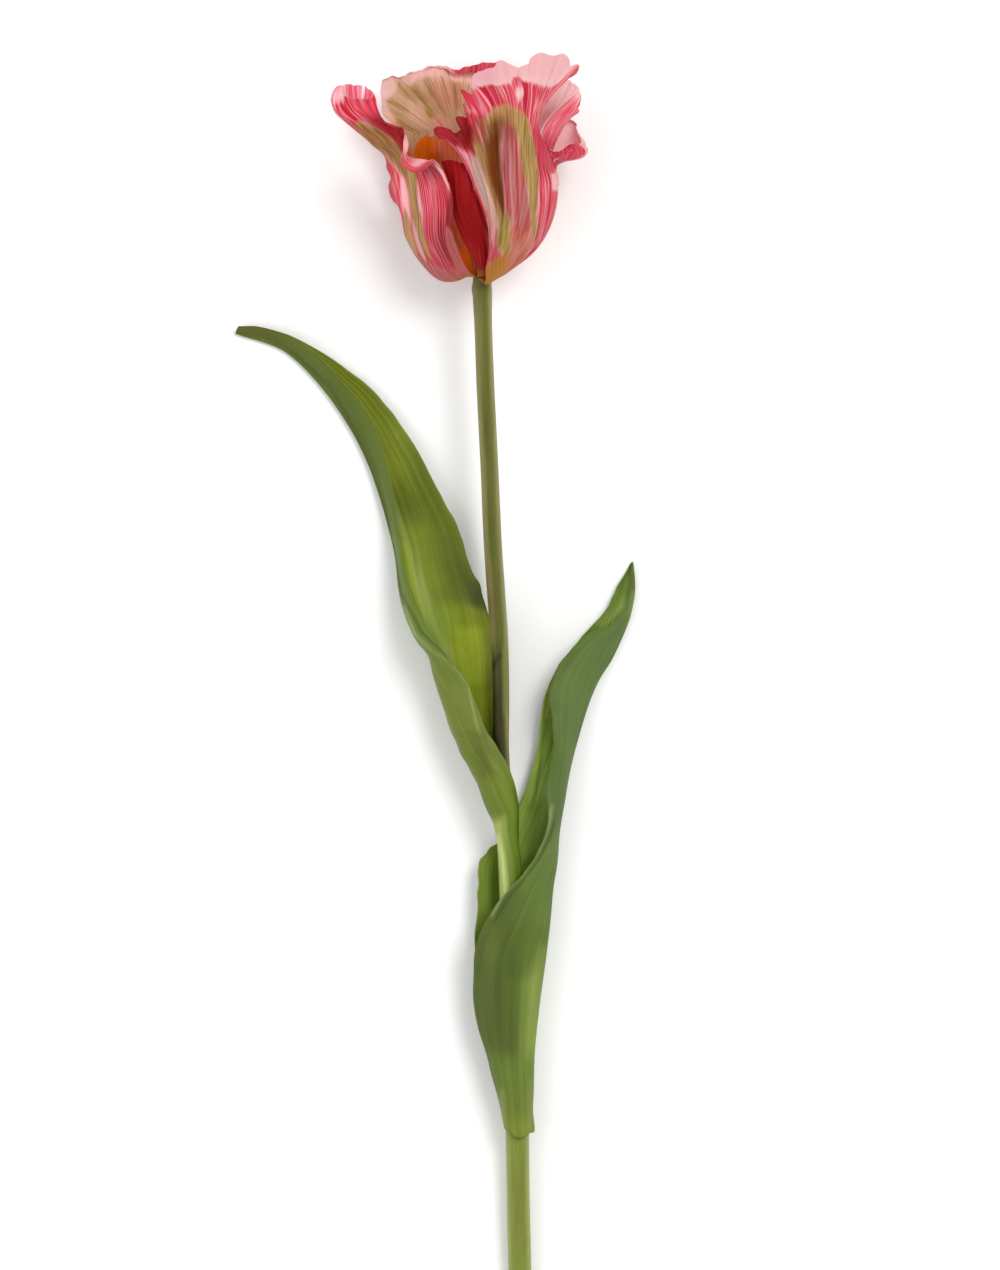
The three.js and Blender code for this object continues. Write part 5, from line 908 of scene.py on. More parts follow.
def build_tepals():
    outer = tepal_material("tepal_back")
    outer_l = tepal_material("tepal_back_left", count=30, waves=44, crimson=(188, 20, 38), rose=(208, 66, 88), line=(222, 126, 140))
    inner = tepal_material("tepal_face", count=40, waves=44, pale=(232, 170, 170), rose=(214, 120, 122), warm=((206, 118, 52), (190, 92, 22)))
    cream = tepal_material("tepal_face_cream", count=44, waves=40, vein=((150, 124, 62), 0.8), pale=(216, 174, 146), rose=(184, 138, 98), crimson=(176, 84, 58), deep_and_shade=(150, 56, 36),
                           olive=((176, 146, 88), (140, 114, 54)), warm=((228, 116, 8), (208, 98, 4)), line=(220, 158, 120), brown_and_shade=(150, 66, 18), dusky=(196, 92, 62))

    # front outer tepal
    P, A, C, S, T = organ("TEPAL_OUTER_FRONT", 190, 260)
    t, s = T[0], S[:, 0]
    P = push(P, pleats(T, S, 15, 0.15, 1) + sm(A, 6.3, 8.0) * (0.55 * wobble(T, 5, 6, 3, 9) * sm(S, 0.7, 1)))
    P = trace(P, "first", [(474, 190), (471.5, 180), (466.5, 168), (461, 157.5), (456, 150), (451, 144.5), (446, 140.5), (440, 137.5), (435, 133)], 0.12)
    P = trace(P, "last", [(559, 185), (558, 175), (554, 162), (547, 148), (541, 138), (537, 129), (535.5, 119), (537, 110), (541.5, 101), (548.5, 92), (557, 84.5), (565, 80.5), (571, 77.5), (576, 74.5)], 0.22)
    P = trace(P, "top", [(434.5, 133), (433.6, 130), (434.5, 128), (437.5, 126.5), (442, 126.8), (447, 128), (450.5, 129.4), (452.3, 131.8), (455, 133.5), (458, 132), (461, 129), (460.3, 126), (457.8, 122), (455.6, 119.5), (456, 117.3), (459, 116),
                         (463, 116.5), (467.5, 118.5), (470.8, 119), (470.2, 115), (467.6, 111), (464.6, 107.6), (462.4, 104.6), (465, 104.6), (469, 107), (471.5, 107), (471, 103.5), (468.5, 99.5), (464.5, 95.5), (461.3, 91.5), (461, 89),
                         (464, 89.5), (468, 92.5), (472, 95), (472.3, 91), (471, 86.5), (471.3, 81), (472, 76.5), (474.5, 73.5), (479, 71.8), (484, 70), (489, 68.4), (493, 67.6), (495.5, 65.5), (496.8, 62.5), (499.5, 60.6), (502, 60), (505, 61.3),
                         (508.5, 63.3), (512, 65.2), (515.5, 66.8), (518.5, 68), (521, 66.5), (525, 65), (529, 63.8), (529.6, 60.5), (531, 57.4), (534, 55.2), (537.5, 53.2), (541.5, 52.2), (545.5, 53), (549, 54.8), (553, 55.4), (557, 55.2),
                         (560, 53.8), (563.5, 53.2), (566.5, 55), (569, 58.6), (569.8, 62.5), (569.8, 65.8), (572.5, 65.6), (575, 64.3), (577.6, 63.8), (579.3, 66), (578.6, 69.5), (576.8, 73), (575.5, 74.5)], 0.16)
    P = fringe_top(P, S, 0.45 * teeth(t, 90, 2) - 0.18, 0.95)
    P = fringe_side(P, T, sm(s, 0.3, 0.6) * 0.3 * (teeth(s, 80, 3) - 0.3), True, 0.05)
    P = fringe_side(P, T, 0.5 * sm(s, 0.5, 0.8) * (teeth(s, 60, 4) - 0.4), False, 0.05)
    f = Paint(P, red=0.35, lines=0.4).flame(S, T)
    o = Paint(P, (1.3, 0.3), red=0.5, lines=0.7, deep_and_shade=0.08)
    o.area([(452, 118), (462, 106), (468, 96), (474, 89), (484, 85), (498, 83), (508, 83), (514, 77), (522, 79), (535, 81), (553, 85), (575, 66), (582, 70), (560, 88), (548, 98), (538, 112), (532, 128), (526, 124), (522, 114), (515, 107.5), (506, 105), (497, 107), (489, 114), (482, 126), (470, 132)], 3, red=0.92, lines=1.0, deep_and_shade=0.05, tint_and_shading=(1.05, 1.3, 1.2))
    o.area([(506, 86), (513, 84), (515, 98), (507, 103)], 4, red=1.0, lines=0.4)
    o.area([(523, 90), (531, 86), (529, 100), (521, 112), (517, 104)], 4, red=1.0, deep_and_shade=0.35)
    o.area([(513, 88), (521, 84), (524, 92), (520, 104), (514, 100)], 3, pale=0.75)
    o.area([(452, 94), (468, 90), (478, 85.5), (490, 83.5), (499, 84), (507, 84), (513, 77), (521, 78), (527, 81), (536, 83), (552, 86.5), (562, 79), (571, 69), (584, 58), (560, 40), (450, 50)], 3, pale=1.0, red=0.1, lines=0.25)
    o.area([(452, 94), (468, 90), (480, 86), (494, 84), (497, 60), (460, 58)], 3, tint_and_shading=(0.94, 0.92, 0.96))
    o.line([(513, 80), (517, 76.5), (522, 80)], 1.6, 2, red=1.0, pale=0.1, lines=0.5)
    # painted shade: darker lines in the notches between the top lobes
    o.line([(495.5, 65), (497, 75), (499, 84)], 0.7, 1.8, tint_and_shading=(0.84, 0.74, 0.76))
    o.line([(518.5, 67), (520, 76), (519, 83)], 0.7, 1.8, tint_and_shading=(0.86, 0.78, 0.8))
    # partly painted shade: the left lobes bend inward, their dark red is partly their own red margin and partly painted
    # shade, and the pocket beside them is painted darker as shade
    o.area([(426, 126), (436, 122), (452, 114), (470, 112), (484, 116), (489, 124), (484, 132), (480, 144), (476, 150), (466, 150), (450, 144), (432, 138)], 4, red=1.4, deep_and_shade=0.85, lines=0.1, pale=0)
    o.area([(454, 116), (462, 114), (472, 120), (470, 132), (460, 130)], 3, red=1.5, deep_and_shade=0.7, lines=0.05)
    o.area([(432, 130), (440, 126), (452, 130), (454, 140), (444, 141)], 3, red=1.5, deep_and_shade=0.7, lines=0.05)
    o.area([(468, 124), (480, 127), (486, 136), (480, 144), (470, 144), (464, 134)], 5, deep_and_shade=1.2, tint_and_shading=(0.84, 0.76, 0.72))
    o.area([(466, 114), (476, 114), (486, 120), (480, 127), (468, 124)], 4, deep_and_shade=0.2, red=1.1, olive=0, brown_and_shade=0, tint_and_shading=(1.1, 1.2, 1.2))
    o.line([(462, 104.5), (468, 109), (474, 116)], 1.4, 2, red=1.3, deep_and_shade=0.4, pale=0, lines=0.2)
    o.line([(460.5, 89), (467, 94), (473, 99)], 1.4, 2, red=1.2, deep_and_shade=0.5, pale=0, lines=0.2, tint_and_shading=(0.95, 0.85, 1))
    o.area([(473, 155), (481, 158), (486, 176), (491, 188), (494, 200), (500, 216), (503, 230), (495, 229), (488, 213), (483, 200), (477, 187), (472, 171)], 3.5, pale=0.45, red=0.2, white=0.6, tint_and_shading=(0.72, 0.86, 0.74))
    o.area([(483, 203), (491, 213), (497, 228), (500, 245), (505, 258), (489, 262), (483, 240)], 5, red=0.42, dusky=0.55, lines=0.5)
    o.line([(436, 134), (448, 142), (458, 153), (466, 166), (471, 180), (477, 192), (482, 206), (486, 216)], 2.0, 2, red=0.9, deep_and_shade=0.25, dusky=0)
    o.line([(456, 145), (466, 158), (474, 176), (481, 192), (488, 208)], 1.3, 1.6, red=0.35, pale=0.3)
    o.line([(483, 234), (483.5, 250), (485, 262), (486, 276)], 2.2, 2.4, red=1.0, deep_and_shade=0.4, dusky=0)
    o.area([(484, 244), (494, 248), (503, 256), (497, 262), (486, 262)], 5, red=0.9, deep_and_shade=0.1)
    # partly painted shade: the valley left of the midrib is partly brownish olive of its own and partly painted shade
    # of the fold
    o.area([(484, 127), (490, 117), (500, 110), (504, 128), (502, 150), (501, 168), (504, 185), (506, 200), (508, 215), (509, 228), (503, 222), (498, 207), (493, 192), (488, 178), (483, 160), (480, 141)], 6, brown_and_shade=0.62, olive=0.8, red=0.2, deep_and_shade=0.2)
    o.area([(480, 122), (500, 120), (501, 136), (494, 150), (482, 148)], 7, brown_and_shade=0.95, dusky=0, tint_and_shading=(0.74, 0.64, 0.5))
    o.area([(490, 138), (501, 140), (502, 180), (505, 210), (500, 212), (493, 190), (489, 166)], 7, brown_and_shade=1.0, tint_and_shading=(0.86, 0.78, 0.7))
    o.area([(472, 118), (486, 112), (492, 124), (486, 146), (478, 156), (470, 146)], 7, brown_and_shade=0.4, olive=0.45, red=0.7, deep_and_shade=0.5, tint_and_shading=(0.86, 0.8, 0.78))
    o.line([(476, 147, 1.2), (482, 165, 1.8), (486.5, 180, 2.0), (491.5, 193, 2.2), (496, 206, 2.6), (500, 218, 3.0), (503, 232, 4.0), (507, 246, 3.6), (509.5, 257, 2.4)], 2, 2.4, olive=1.0, brown_and_shade=0, dusky=0, tint_and_shading=(1, 1, 0.94))
    o.line([(476, 148, 1.0), (483, 167, 1.6), (488, 181, 1.6), (493, 194, 1.4), (498, 208, 1.2)], 1.5, 2.4, tint_and_shading=(0.62, 0.58, 0.5))
    o.line([(481, 170, 0.8), (486, 185, 1.0), (491, 199, 1.0), (496, 212, 0.8)], 1, 1.6, white=1.0, tint_and_shading=(0.96, 0.94, 0.88))
    o.area([(486, 120), (491, 111), (498, 106), (507, 104.5), (515, 107), (522, 112), (528, 121), (533, 134), (520, 135), (516, 127), (510, 123), (503, 123), (497, 130), (488, 132)], 6.5, olive=1.0, brown_and_shade=0.1, tint_and_shading=(0.96, 0.8, 0.8))
    # partly painted shade at the top of the valley
    o.area([(486, 126), (494, 119), (502, 116), (508, 122), (504, 132), (488, 136)], 6, brown_and_shade=0.75, tint_and_shading=(0.72, 0.62, 0.5))
    for x, y0, y1, w in ((491, 115, 130, 0.8), (499.5, 110, 128, 0.7), (505, 106, 127, 1.0), (510, 108, 124, 0.7), (515.5, 111, 130, 0.8)):
        o.line([(x, y0), (x - 0.14 * (505 - x), y1)], w, 1.6, brown_and_shade=0.5)
    o.area([(513, 121), (526, 119), (532, 133), (536.5, 150), (538, 168), (537.5, 185), (537, 200), (536, 215), (536.5, 228), (532, 243), (525, 254), (529.5, 235), (530, 215), (528, 198), (525, 182), (521, 165), (519, 150), (517, 135)], 3, olive=1.0, red=0.1, brown_and_shade=0, tint_and_shading=(0.86, 0.92, 0.74))
    o.line([(513.5, 123), (516.5, 135), (519, 150), (520, 162)], 1.1, 2, brown_and_shade=0.75)
    o.line([(529, 128), (529.5, 140), (528, 165), (529, 185)], 0.8, 1.6, brown_and_shade=0.28)
    o.line([(536.5, 150), (537.5, 180), (536, 197), (535, 212)], 1.0, 1.8, brown_and_shade=0.5)
    o.line([(539.5, 220), (537.5, 230), (535, 240)], 1.2, 1.8, brown_and_shade=0.6)
    o.area([(502, 129), (507, 126), (513, 130), (517, 141), (519.5, 156), (521, 168), (525, 184), (528, 200), (529.5, 216), (529, 235), (524, 250), (512, 252), (510.5, 235), (508, 218), (506, 200), (504, 184), (501.5, 166), (501, 148)], 5.5, dusky=1.25, red=0.3, olive=0, brown_and_shade=0, lines=0.2, tint_and_shading=(0.86, 0.82, 0.76))
    o.area([(499, 124), (506, 121), (514, 126), (516, 138), (508, 142), (500, 138)], 5, dusky=1.2, tint_and_shading=(0.66, 0.56, 0.5))
    o.line([(509.5, 132, 0.8), (510.5, 160, 1.5), (511.5, 190, 1.8), (513, 215, 1.4), (513, 235, 0.6)], 1, 2, dusky=0.45, pale=0.5, tint_and_shading=(0.84, 0.68, 0.76))
    o.line([(504, 134), (504.5, 160), (506.5, 192), (509, 215)], 1.2, 1.8, dusky=0.2, red=0.9, tint_and_shading=(0.82, 0.72, 0.76))
    o.line([(515.5, 140), (516.8, 170), (518, 200), (518, 238)], 1.2, 1.8, dusky=0.2, red=0.9, tint_and_shading=(0.86, 0.78, 0.72))
    o.line([(521.5, 190), (522, 215), (522.5, 244)], 0.8, 1.6, dusky=0.3, red=0.8, tint_and_shading=(0.86, 0.76, 0.7))
    o.area([(530, 130), (541, 120), (562, 112), (566, 165), (563, 215), (548, 240), (531, 256), (536, 240), (538, 222), (539, 200), (539.5, 170), (536, 148)], 3, red=0.72, lines=1.0, dusky=0, olive=0)
    o.area([(531, 128), (542, 124), (556, 146), (561, 160), (552, 170), (541, 183), (538.5, 165), (535, 145)], 4, red=1.0, deep_and_shade=0.35, lines=0.4)
    o.area([(551, 175), (560, 168), (564, 192), (551, 191)], 2.5, pale=1.0)
    o.area([(534, 97), (541, 95), (548, 100), (545, 108), (537, 118), (531, 112)], 4, pale=0.25, red=0.6, lines=1.0, tint_and_shading=(1.12, 1.3, 1.25))
    o.line([(480, 145, 2.2), (483, 158, 2.8), (487, 172, 2.8), (491, 187, 2.8), (496, 202, 2.8), (500, 214, 2.8), (502, 226, 2.0)], 3, 3, olive=0.85, pale=0.15, dusky=0, white=0.1, tint_and_shading=(0.7, 0.62, 0.48))
    o.line([(480, 168, 0.7), (485, 183, 0.9), (490, 198, 0.9), (495, 212, 0.7)], 1, 1.6, white=0.9, pale=0.4, tint_and_shading=(0.9, 0.86, 0.8))
    o.area([(498, 218), (510, 212), (512, 236), (512, 254), (500, 254), (496, 238)], 6, dusky=0.3, olive=0.85, tint_and_shading=(0.78, 0.92, 0.66))
    o.area([(511, 230), (531, 226), (532, 248), (522, 262), (511, 266)], 6, tint_and_shading=(0.86, 0.72, 0.5))
    o.area([(531, 222), (540, 222), (538, 240), (530, 248)], 4, tint_and_shading=(0.8, 0.92, 0.62))
    o.area([(534, 138), (541, 138), (542, 168), (537.5, 160), (534.5, 150)], 3, red=1.0, olive=0, deep_and_shade=0.35, tint_and_shading=(1, 0.9, 0.9))
    o.area([(484, 206), (492, 206), (498, 226), (490, 228)], 5, tint_and_shading=(0.84, 0.78, 0.68))
    o.area([(541, 200), (553, 196), (556, 212), (549, 230), (541, 240), (539, 222)], 5, red=1.05, deep_and_shade=0.05, lines=0.8, tint_and_shading=(1, 1.3, 1.15))
    o.area([(484, 266), (497, 255), (509, 251), (512, 262), (504, 278), (488, 290), (478, 286)], 8, warm=0.9, dusky=0, tint_and_shading=(1.0, 1.12, 0.95))
    o.area([(512, 230), (531, 232), (532, 248), (520, 264), (508, 272), (512, 250)], 8, warm=0.6, dusky=0.4, olive=0.2, tint_and_shading=(0.98, 0.76, 0.72))
    tepal("tepal_outer_front", (inner, outer), "tepal_crimson", P, S, T, f, o)

    # left outer tepal
    P, A, C, S, T = organ("TEPAL_OUTER_LEFT", 260, 150)
    s = S[:, 0]
    P = push(P, pleats(T, S, 9, 0.12, 11) + 0.25 * sm(S, 0.72, 0.95) * wobble(T, 15, 5, 2, 6))
    P = fringe_side(P, T, sm(s, 0.18, 0.3) * (0.45 * teeth(s, 110, 12) + 0.2 * wobble(s, 16, 7, 8, 22) - 0.2), False, 0.05)
    P = trace(P, "first", [(458, 278.5), (443, 276), (431, 266), (420.5, 254), (411, 240.5), (405.5, 226), (402, 213), (400.8, 206), (397, 203.5), (393, 200.5), (390.3, 196), (388.8, 190.5), (388.5, 185), (390.2, 180.5), (391.6, 177), (390.4, 173.5),
                           (387.6, 170), (386.3, 166), (387.6, 162.5), (388, 158.5), (385.5, 155), (379.5, 150), (370, 142), (362, 134.8), (353, 127.6), (344.5, 119.6), (336, 110.8), (332.2, 101)], 0.2)
    P = trace(P, "last", [(452, 196), (449, 184), (445.5, 175), (441, 168.5), (436.5, 164), (432.5, 161.8), (430.5, 164), (426, 168.3), (420, 171.8), (414.5, 173.6), (409.5, 172.6), (405, 169.6), (401.6, 165.8), (400.2, 162), (402, 157), (403.2, 150),
                          (403.2, 142), (404.4, 136), (407, 131.8), (404, 128), (398.5, 127.4), (393, 127.8), (388, 125), (384, 121), (380.5, 116.5), (378.3, 111), (376.6, 105.5), (375.8, 100), (374.3, 95), (372.5, 99)], 0.3)
    P = nudge(P, [(403, 222, 1.2, 0, 14), (410, 245, 1.4, -0.5, 14), (448, 284, 0, -2.0, 14), (466, 279, 0, -2.0, 7), (362, 135, 0.6, -0.9, 18)])
    P = fringe_side(P, T, sm(s, 0.2, 0.3) * 0.35 * (teeth(s, 110, 14) - 0.4), True, 0.09)
    P = fringe_top(P, S, 0.4 * teeth(T[0], 22, 18), 0.95)
    P = relax(P, [(412, 165, 9), (408, 132, 6), (396, 126, 5)], 5.0, 2.0)
    f = Paint(P, red=0.25, pale=0.75, lines=0.5)
    f.area([(398, 157), (405, 158), (409, 164), (408, 174), (399, 172)], 2.5, red=1.3, pale=0, deep_and_shade=0.3, lines=0.2)
    f.line([(400, 164), (408, 171.5), (415, 172.5), (424, 168), (430, 163)], 2.6, 3.4, red=1.3, pale=0, deep_and_shade=0.25, lines=0.3)
    f.area([(402, 128), (412, 128), (412, 158), (403, 158)], 2, pale=0.6, red=0.7, lines=0.8)
    f.area([(378, 116), (396, 121), (411, 123), (413, 134), (404, 134), (390, 130)], 2, red=1.3, pale=0, deep_and_shade=0.5, lines=0.2)
    f.line([(401, 166), (408, 172), (416, 173), (424, 169), (431, 163)], 1.3, 1.8, red=1.5, deep_and_shade=0.5, pale=0, lines=0)
    f.line([(406, 164), (412, 162), (418, 158)], 1.1, 1.6, red=1.4, deep_and_shade=0.4, pale=0, lines=0)
    f.line([(409.5, 128), (412, 142), (411.5, 154), (408, 161)], 2.0, 2.2, red=1.3, pale=0, deep_and_shade=0.4, lines=0.2)
    # partly painted light: the pocket of the rolled tip is pink of its own and brightened to offset its shade
    f.area([(330, 78), (384, 78), (388, 108), (330, 108)], 5, red=0.9, pale=0.1, lines=1.0, tint_and_shading=(1.35, 1.75, 1.85))
    f.area([(330, 78), (348, 78), (346, 106), (330, 106)], 6, red=0.5, pale=0.4)
    f.area([(352, 93), (372, 92), (376, 106), (352, 106)], 5, red=1.3, lines=0.6)
    # painted highlight on the rolled tip
    f.line([(365, 82, 1.6), (362, 94, 1.3)], 1, 1.8, pale=0.9, red=0.2)
    f.on(sm(S, 0.5, 0.3), red=0.5, pale=0).on(sm(S, 0.2, 0.1), warm=1.0)
    o = Paint(P, red=1.2, lines=1.0, deep_and_shade=0.2)
    o.area([(420, 172), (432, 172), (430, 200), (424, 222), (420, 205)], 5, red=0.95, deep_and_shade=0)
    o.area([(436, 215), (450, 225), (452, 262), (440, 262), (434, 240)], 7, red=1.4, deep_and_shade=0.75, tint_and_shading=(0.92, 0.72, 0.72))
    # painted shade at the top of the face
    o.area([(422, 163), (436, 164), (442, 176), (432, 181), (424, 176)], 5, red=1.3, deep_and_shade=0.8, tint_and_shading=(0.84, 0.76, 0.76))
    o.area([(396, 160), (404, 172), (409, 188), (411, 204), (413, 222), (409, 230), (402, 216), (398, 196), (394, 176)], 3, pale=0.62, red=0.42, lines=1.0, deep_and_shade=0, tint_and_shading=(1.45, 1.25, 1.3))
    o.line([(398, 170), (400, 190), (401, 206), (404, 222)], 0.9, 1.8, pale=0, red=0.9)
    o.line([(405, 210, 1.6), (408, 225, 3.4), (411, 240, 4.0), (416, 254, 3.0)], 2, 2.5, olive=0.95, pale=0, tint_and_shading=(1, 0.9, 0.9))
    o.line([(410, 204, 1.0), (412, 218, 1.8), (416.5, 232, 2.8), (420.5, 246, 3.2), (424, 257, 2.6)], 2, 2, pale=0.75, olive=0, lines=0.2, tint_and_shading=(0.93, 0.8, 0.78))
    o.line([(411, 172, 5.6), (413.5, 190, 5.0), (415, 205, 4.4), (418, 222, 3.6), (422, 236, 3.0), (427, 250, 2.2), (431, 260, 1.2)], 3, 2.6, olive=1.0, pale=0, brown_and_shade=0, tint_and_shading=(1, 0.98, 0.9))
    o.line([(405, 172, 1.5), (408, 182, 1.4), (410, 192, 0.8)], 1, 2, brown_and_shade=0.45)
    o.line([(417, 176, 0.8), (419, 190, 1.6), (420, 204, 1.6), (421.5, 216, 1.0)], 1.4, 2.4, pale=0.7, red=0.3, olive=0.2, tint_and_shading=(1.14, 1.3, 1.3))
    o.line([(418, 186), (417.8, 214)], 0.6, 1.6, brown_and_shade=0.3)
    o.area([(423, 182), (433, 186), (433, 216), (426, 218), (423, 204)], 4, deep_and_shade=0, tint_and_shading=(1.3, 1.55, 1.6))
    o.line([(423, 198, 0.8), (423, 212, 1.6), (424, 228, 1.3), (427, 242, 0.8)], 1, 1.8, pale=0.7)
    o.area([(445, 226), (454, 220), (454, 238), (459, 255), (468, 272), (458, 268), (450, 256), (446, 240)], 3, dusky=0.9, red=0.1, lines=0.2, tint_and_shading=(0.84, 0.7, 0.66))
    o.area([(448, 196), (455, 196), (456, 226), (450, 230), (446, 214)], 3, red=1.4, deep_and_shade=1.0, dusky=0, tint_and_shading=(0.8, 0.5, 0.5))
    o.line([(428, 160), (440, 168), (445, 180), (450, 190)], 1.3, 1.6, pale=0.95)
    o.area([(414, 252), (428, 262), (446, 270), (462, 268), (476, 280), (440, 290), (418, 276), (404, 250)], 6, dusky=1.2, red=0.2, pale=0, olive=0, deep_and_shade=0, lines=0.2, tint_and_shading=(1, 0.86, 0.84))
    o.area([(382, 156), (396, 160), (402, 176), (402, 208), (390, 208), (382, 188)], 3, red=0.7, lines=1.0, deep_and_shade=0)
    o.line([(402, 172), (388, 158), (375, 147), (360, 134.5), (346, 123), (336, 112)], 1.2, 2, pale=0.5, red=0.6, lines=0.8, olive=0)
    o.area([(362, 121), (372, 119), (385, 130), (396, 139), (402, 150), (403, 162), (408, 174), (402, 174), (390, 160), (378, 149), (366, 138), (355, 125)], 3.5, olive=1.0, red=0.2, pale=0, tint_and_shading=(0.78, 0.58, 0.5))
    o.line([(372, 136), (384, 147), (394, 158)], 1.0, 2, brown_and_shade=0.4)
    o.area([(358, 118), (368, 116), (378, 123), (390, 134), (378, 128), (366, 124)], 3, dusky=0.85, olive=0, lines=0.4)
    o.area([(364, 111), (378, 113), (391, 124), (406, 128), (410, 140), (404, 152), (397, 142), (385, 132), (372, 121)], 3, red=1.5, deep_and_shade=0.7, lines=0.15, olive=0, dusky=0)
    o.line([(380, 108, 1.0), (374, 116, 1.0), (376, 123, 0.8)], 1, 1.6, pale=0.85, deep_and_shade=0)
    o.area([(326, 95), (338, 80), (366, 80), (380, 100), (380, 112), (366, 118), (350, 122), (336, 110)], 3, red=1.0, lines=1.0, deep_and_shade=0, olive=0)
    o.area([(326, 98), (336, 84), (352, 82), (353, 92), (346, 104), (334, 108)], 6, red=0.4, lines=0.6, pale=0.2)
    o.area([(348, 99), (358, 96), (372, 98), (376, 110), (362, 114), (350, 111)], 4, red=1.3, deep_and_shade=0.3, lines=0.35)
    o.area([(322, 92), (336, 78), (368, 78), (384, 100), (382, 112), (366, 116), (350, 120), (334, 112)], 6, tint_and_shading=(1.55, 1.9, 2.0))
    # painted highlight on the rolled tip
    o.line([(365, 84, 1.6), (361.5, 94, 1.3), (361, 102, 0.7)], 1, 1.4, white=1.0, pale=0.8, tint_and_shading=(1.35, 1.3, 1.35))
    o.line([(354, 104, 0.8), (358, 109, 1.2)], 1, 1.4, pale=0.9)
    for x, y in ((336, 98), (341, 94), (347, 92)):
        o.line([(x, y), (x + 3.5, y + 8)], 0.8, 1.4, pale=0.8)
    o.on(sm(S, 0.09, 0.04), warm=0.8)
    tepal("tepal_outer_left", (inner, outer_l), "tepal_crimson", P, S, T, f, o)

    # right outer tepal
    P, A, C, S, T = organ("TEPAL_OUTER_RIGHT", 150, 200)
    s, t = S[:, 0], T[0]
    P = push(P, pleats(T, S, 14, 0.14, 21) + 0.8 * sm(S, 0.72, 1) * wobble(T, 25, 6, 3, 9))
    P = trace(P, "top", [(550, 149.5), (554, 151.5), (559.5, 151.3), (563.3, 149), (566, 146), (570, 143.8), (575, 143), (579, 144.2), (581.5, 142), (581, 138), (579, 134), (578, 130), (577.8, 125), (575.5, 122.4), (571, 120.5)], 0.2)
    P = nudge(P, [(592, 150, -0.3, 0.8, 9), (570, 164, 0, -2.6, 9), (584, 128, -2.2, 0, 8)])
    P = fringe_top(P, S, sm(t, 0.55, 0.7) * (1.3 * np.abs(np.sin(8.6 * np.pi * t)) ** 0.7 - 0.7) + 0.5 * teeth(t, 70, 22) - 0.2, 0.92)
    P = fringe_side(P, T, 0.8 * sm(s, 0.55, 0.8) * teeth(s, 60, 23), True, 0.05)
    P = fringe_side(P, T, sm(s, 0.4, 0.7) * (1.8 * teeth(s, 60, 24) - 0.3), False, 0.05)
    P[..., 2] = np.maximum(P[..., 2], 0.25)
    f = Paint(P, red=0.3, lines=0.5).flame(S, T, 0.5, 0.1, 0.7)
    # partly painted light: the lobe is pale of its own and brightened to offset the shade it lies in
    f.area([(545, 116), (582, 112), (592, 134), (590, 152), (548, 154)], 3, pale=1.0, red=0.1, tint_and_shading=(1.5, 2.0, 2.05))
    f.line([(560, 120), (570, 121), (580, 127)], 1.2, 1.6, pale=0, red=0.9)
    o = Paint(P, red=0.62, lines=0.8, deep_and_shade=0.1).flame(S, T, 0.52, 0.11, 0.74)
    # partly painted shade: the curled-over margin is crimson, darkened as the shade under the curl
    o.area([(545, 146), (556, 150), (566, 145), (578, 142), (583, 148), (580, 158), (560, 166), (545, 168)], 3, red=1.3, pale=0, deep_and_shade=0.4, lines=0.35, olive=0, white=0, tint_and_shading=(1.1, 1.1, 1.15))
    o.line([(548, 165), (556, 159), (566, 156.5)], 0.9, 1.4, pale=0.8)
    o.line([(578, 130), (586, 140), (588, 150), (584, 158), (574, 160), (562, 163)], 2.0, 1.6, pale=0.75, red=0.5, deep_and_shade=0)
    tepal("tepal_outer_right", (inner, outer), "tepal_crimson", P, S, T, f, o)

    # front inner tepal
    P, A, C, S, T = organ("TEPAL_INNER_FRONT", 110, 90)
    t = T[0]
    P = push(P, pleats(T, S, 7, 0.10, 31))
    P = fringe_top(P, S, 0.4 * teeth(t, 16, 32) + 0.3, 0.93)
    P = fringe_side(P, T, 0.4 * sm(S[:, 0], 0.2, 0.4) * teeth(S[:, 0], 40, 33), True, 0.08)
    f = Paint(P, red=0.6, lines=0.3, deep_and_shade=0.4).on(sm(S, 0.35, 0.2), warm=1.0)
    # partly painted shade: this tepal is dark wine red of its own, darkened further as the shade of the gap between the
    # outer tepals where it sits
    o = Paint(P, red=1.6, lines=0.05, deep_and_shade=1.25)
    o.on(sm(S, -1, 0), tint_and_shading=(1.14, 0.34, 0.34))
    o.area([(450, 196), (468, 202), (480, 224), (480, 246), (466, 240), (454, 222)], 8, deep_and_shade=1.0, tint_and_shading=(0.92, 0.34, 0.3))
    o.area([(464, 240), (480, 246), (488, 270), (480, 280), (468, 262)], 6, deep_and_shade=0.8, lines=0.2, tint_and_shading=(1.25, 0.62, 0.5))
    o.line([(466, 170), (476, 190), (483, 208), (487, 226), (488, 246)], 2.4, 4, deep_and_shade=0.3, lines=0.5, red=1.2, tint_and_shading=(1.1, 0.8, 0.8))
    o.line([(462, 222, 0.4), (472, 232, 0.5), (482, 244, 0.4)], 0.4, 1.4, pale=0.3)
    o.area([(468, 270), (484, 270), (490, 288), (470, 288)], 3, warm=1.0, tint_and_shading=(0.8, 0.55, 0.35))
    tepal("tepal_inner_front", (inner, outer), "tepal_crimson", P, S, T, f, o)

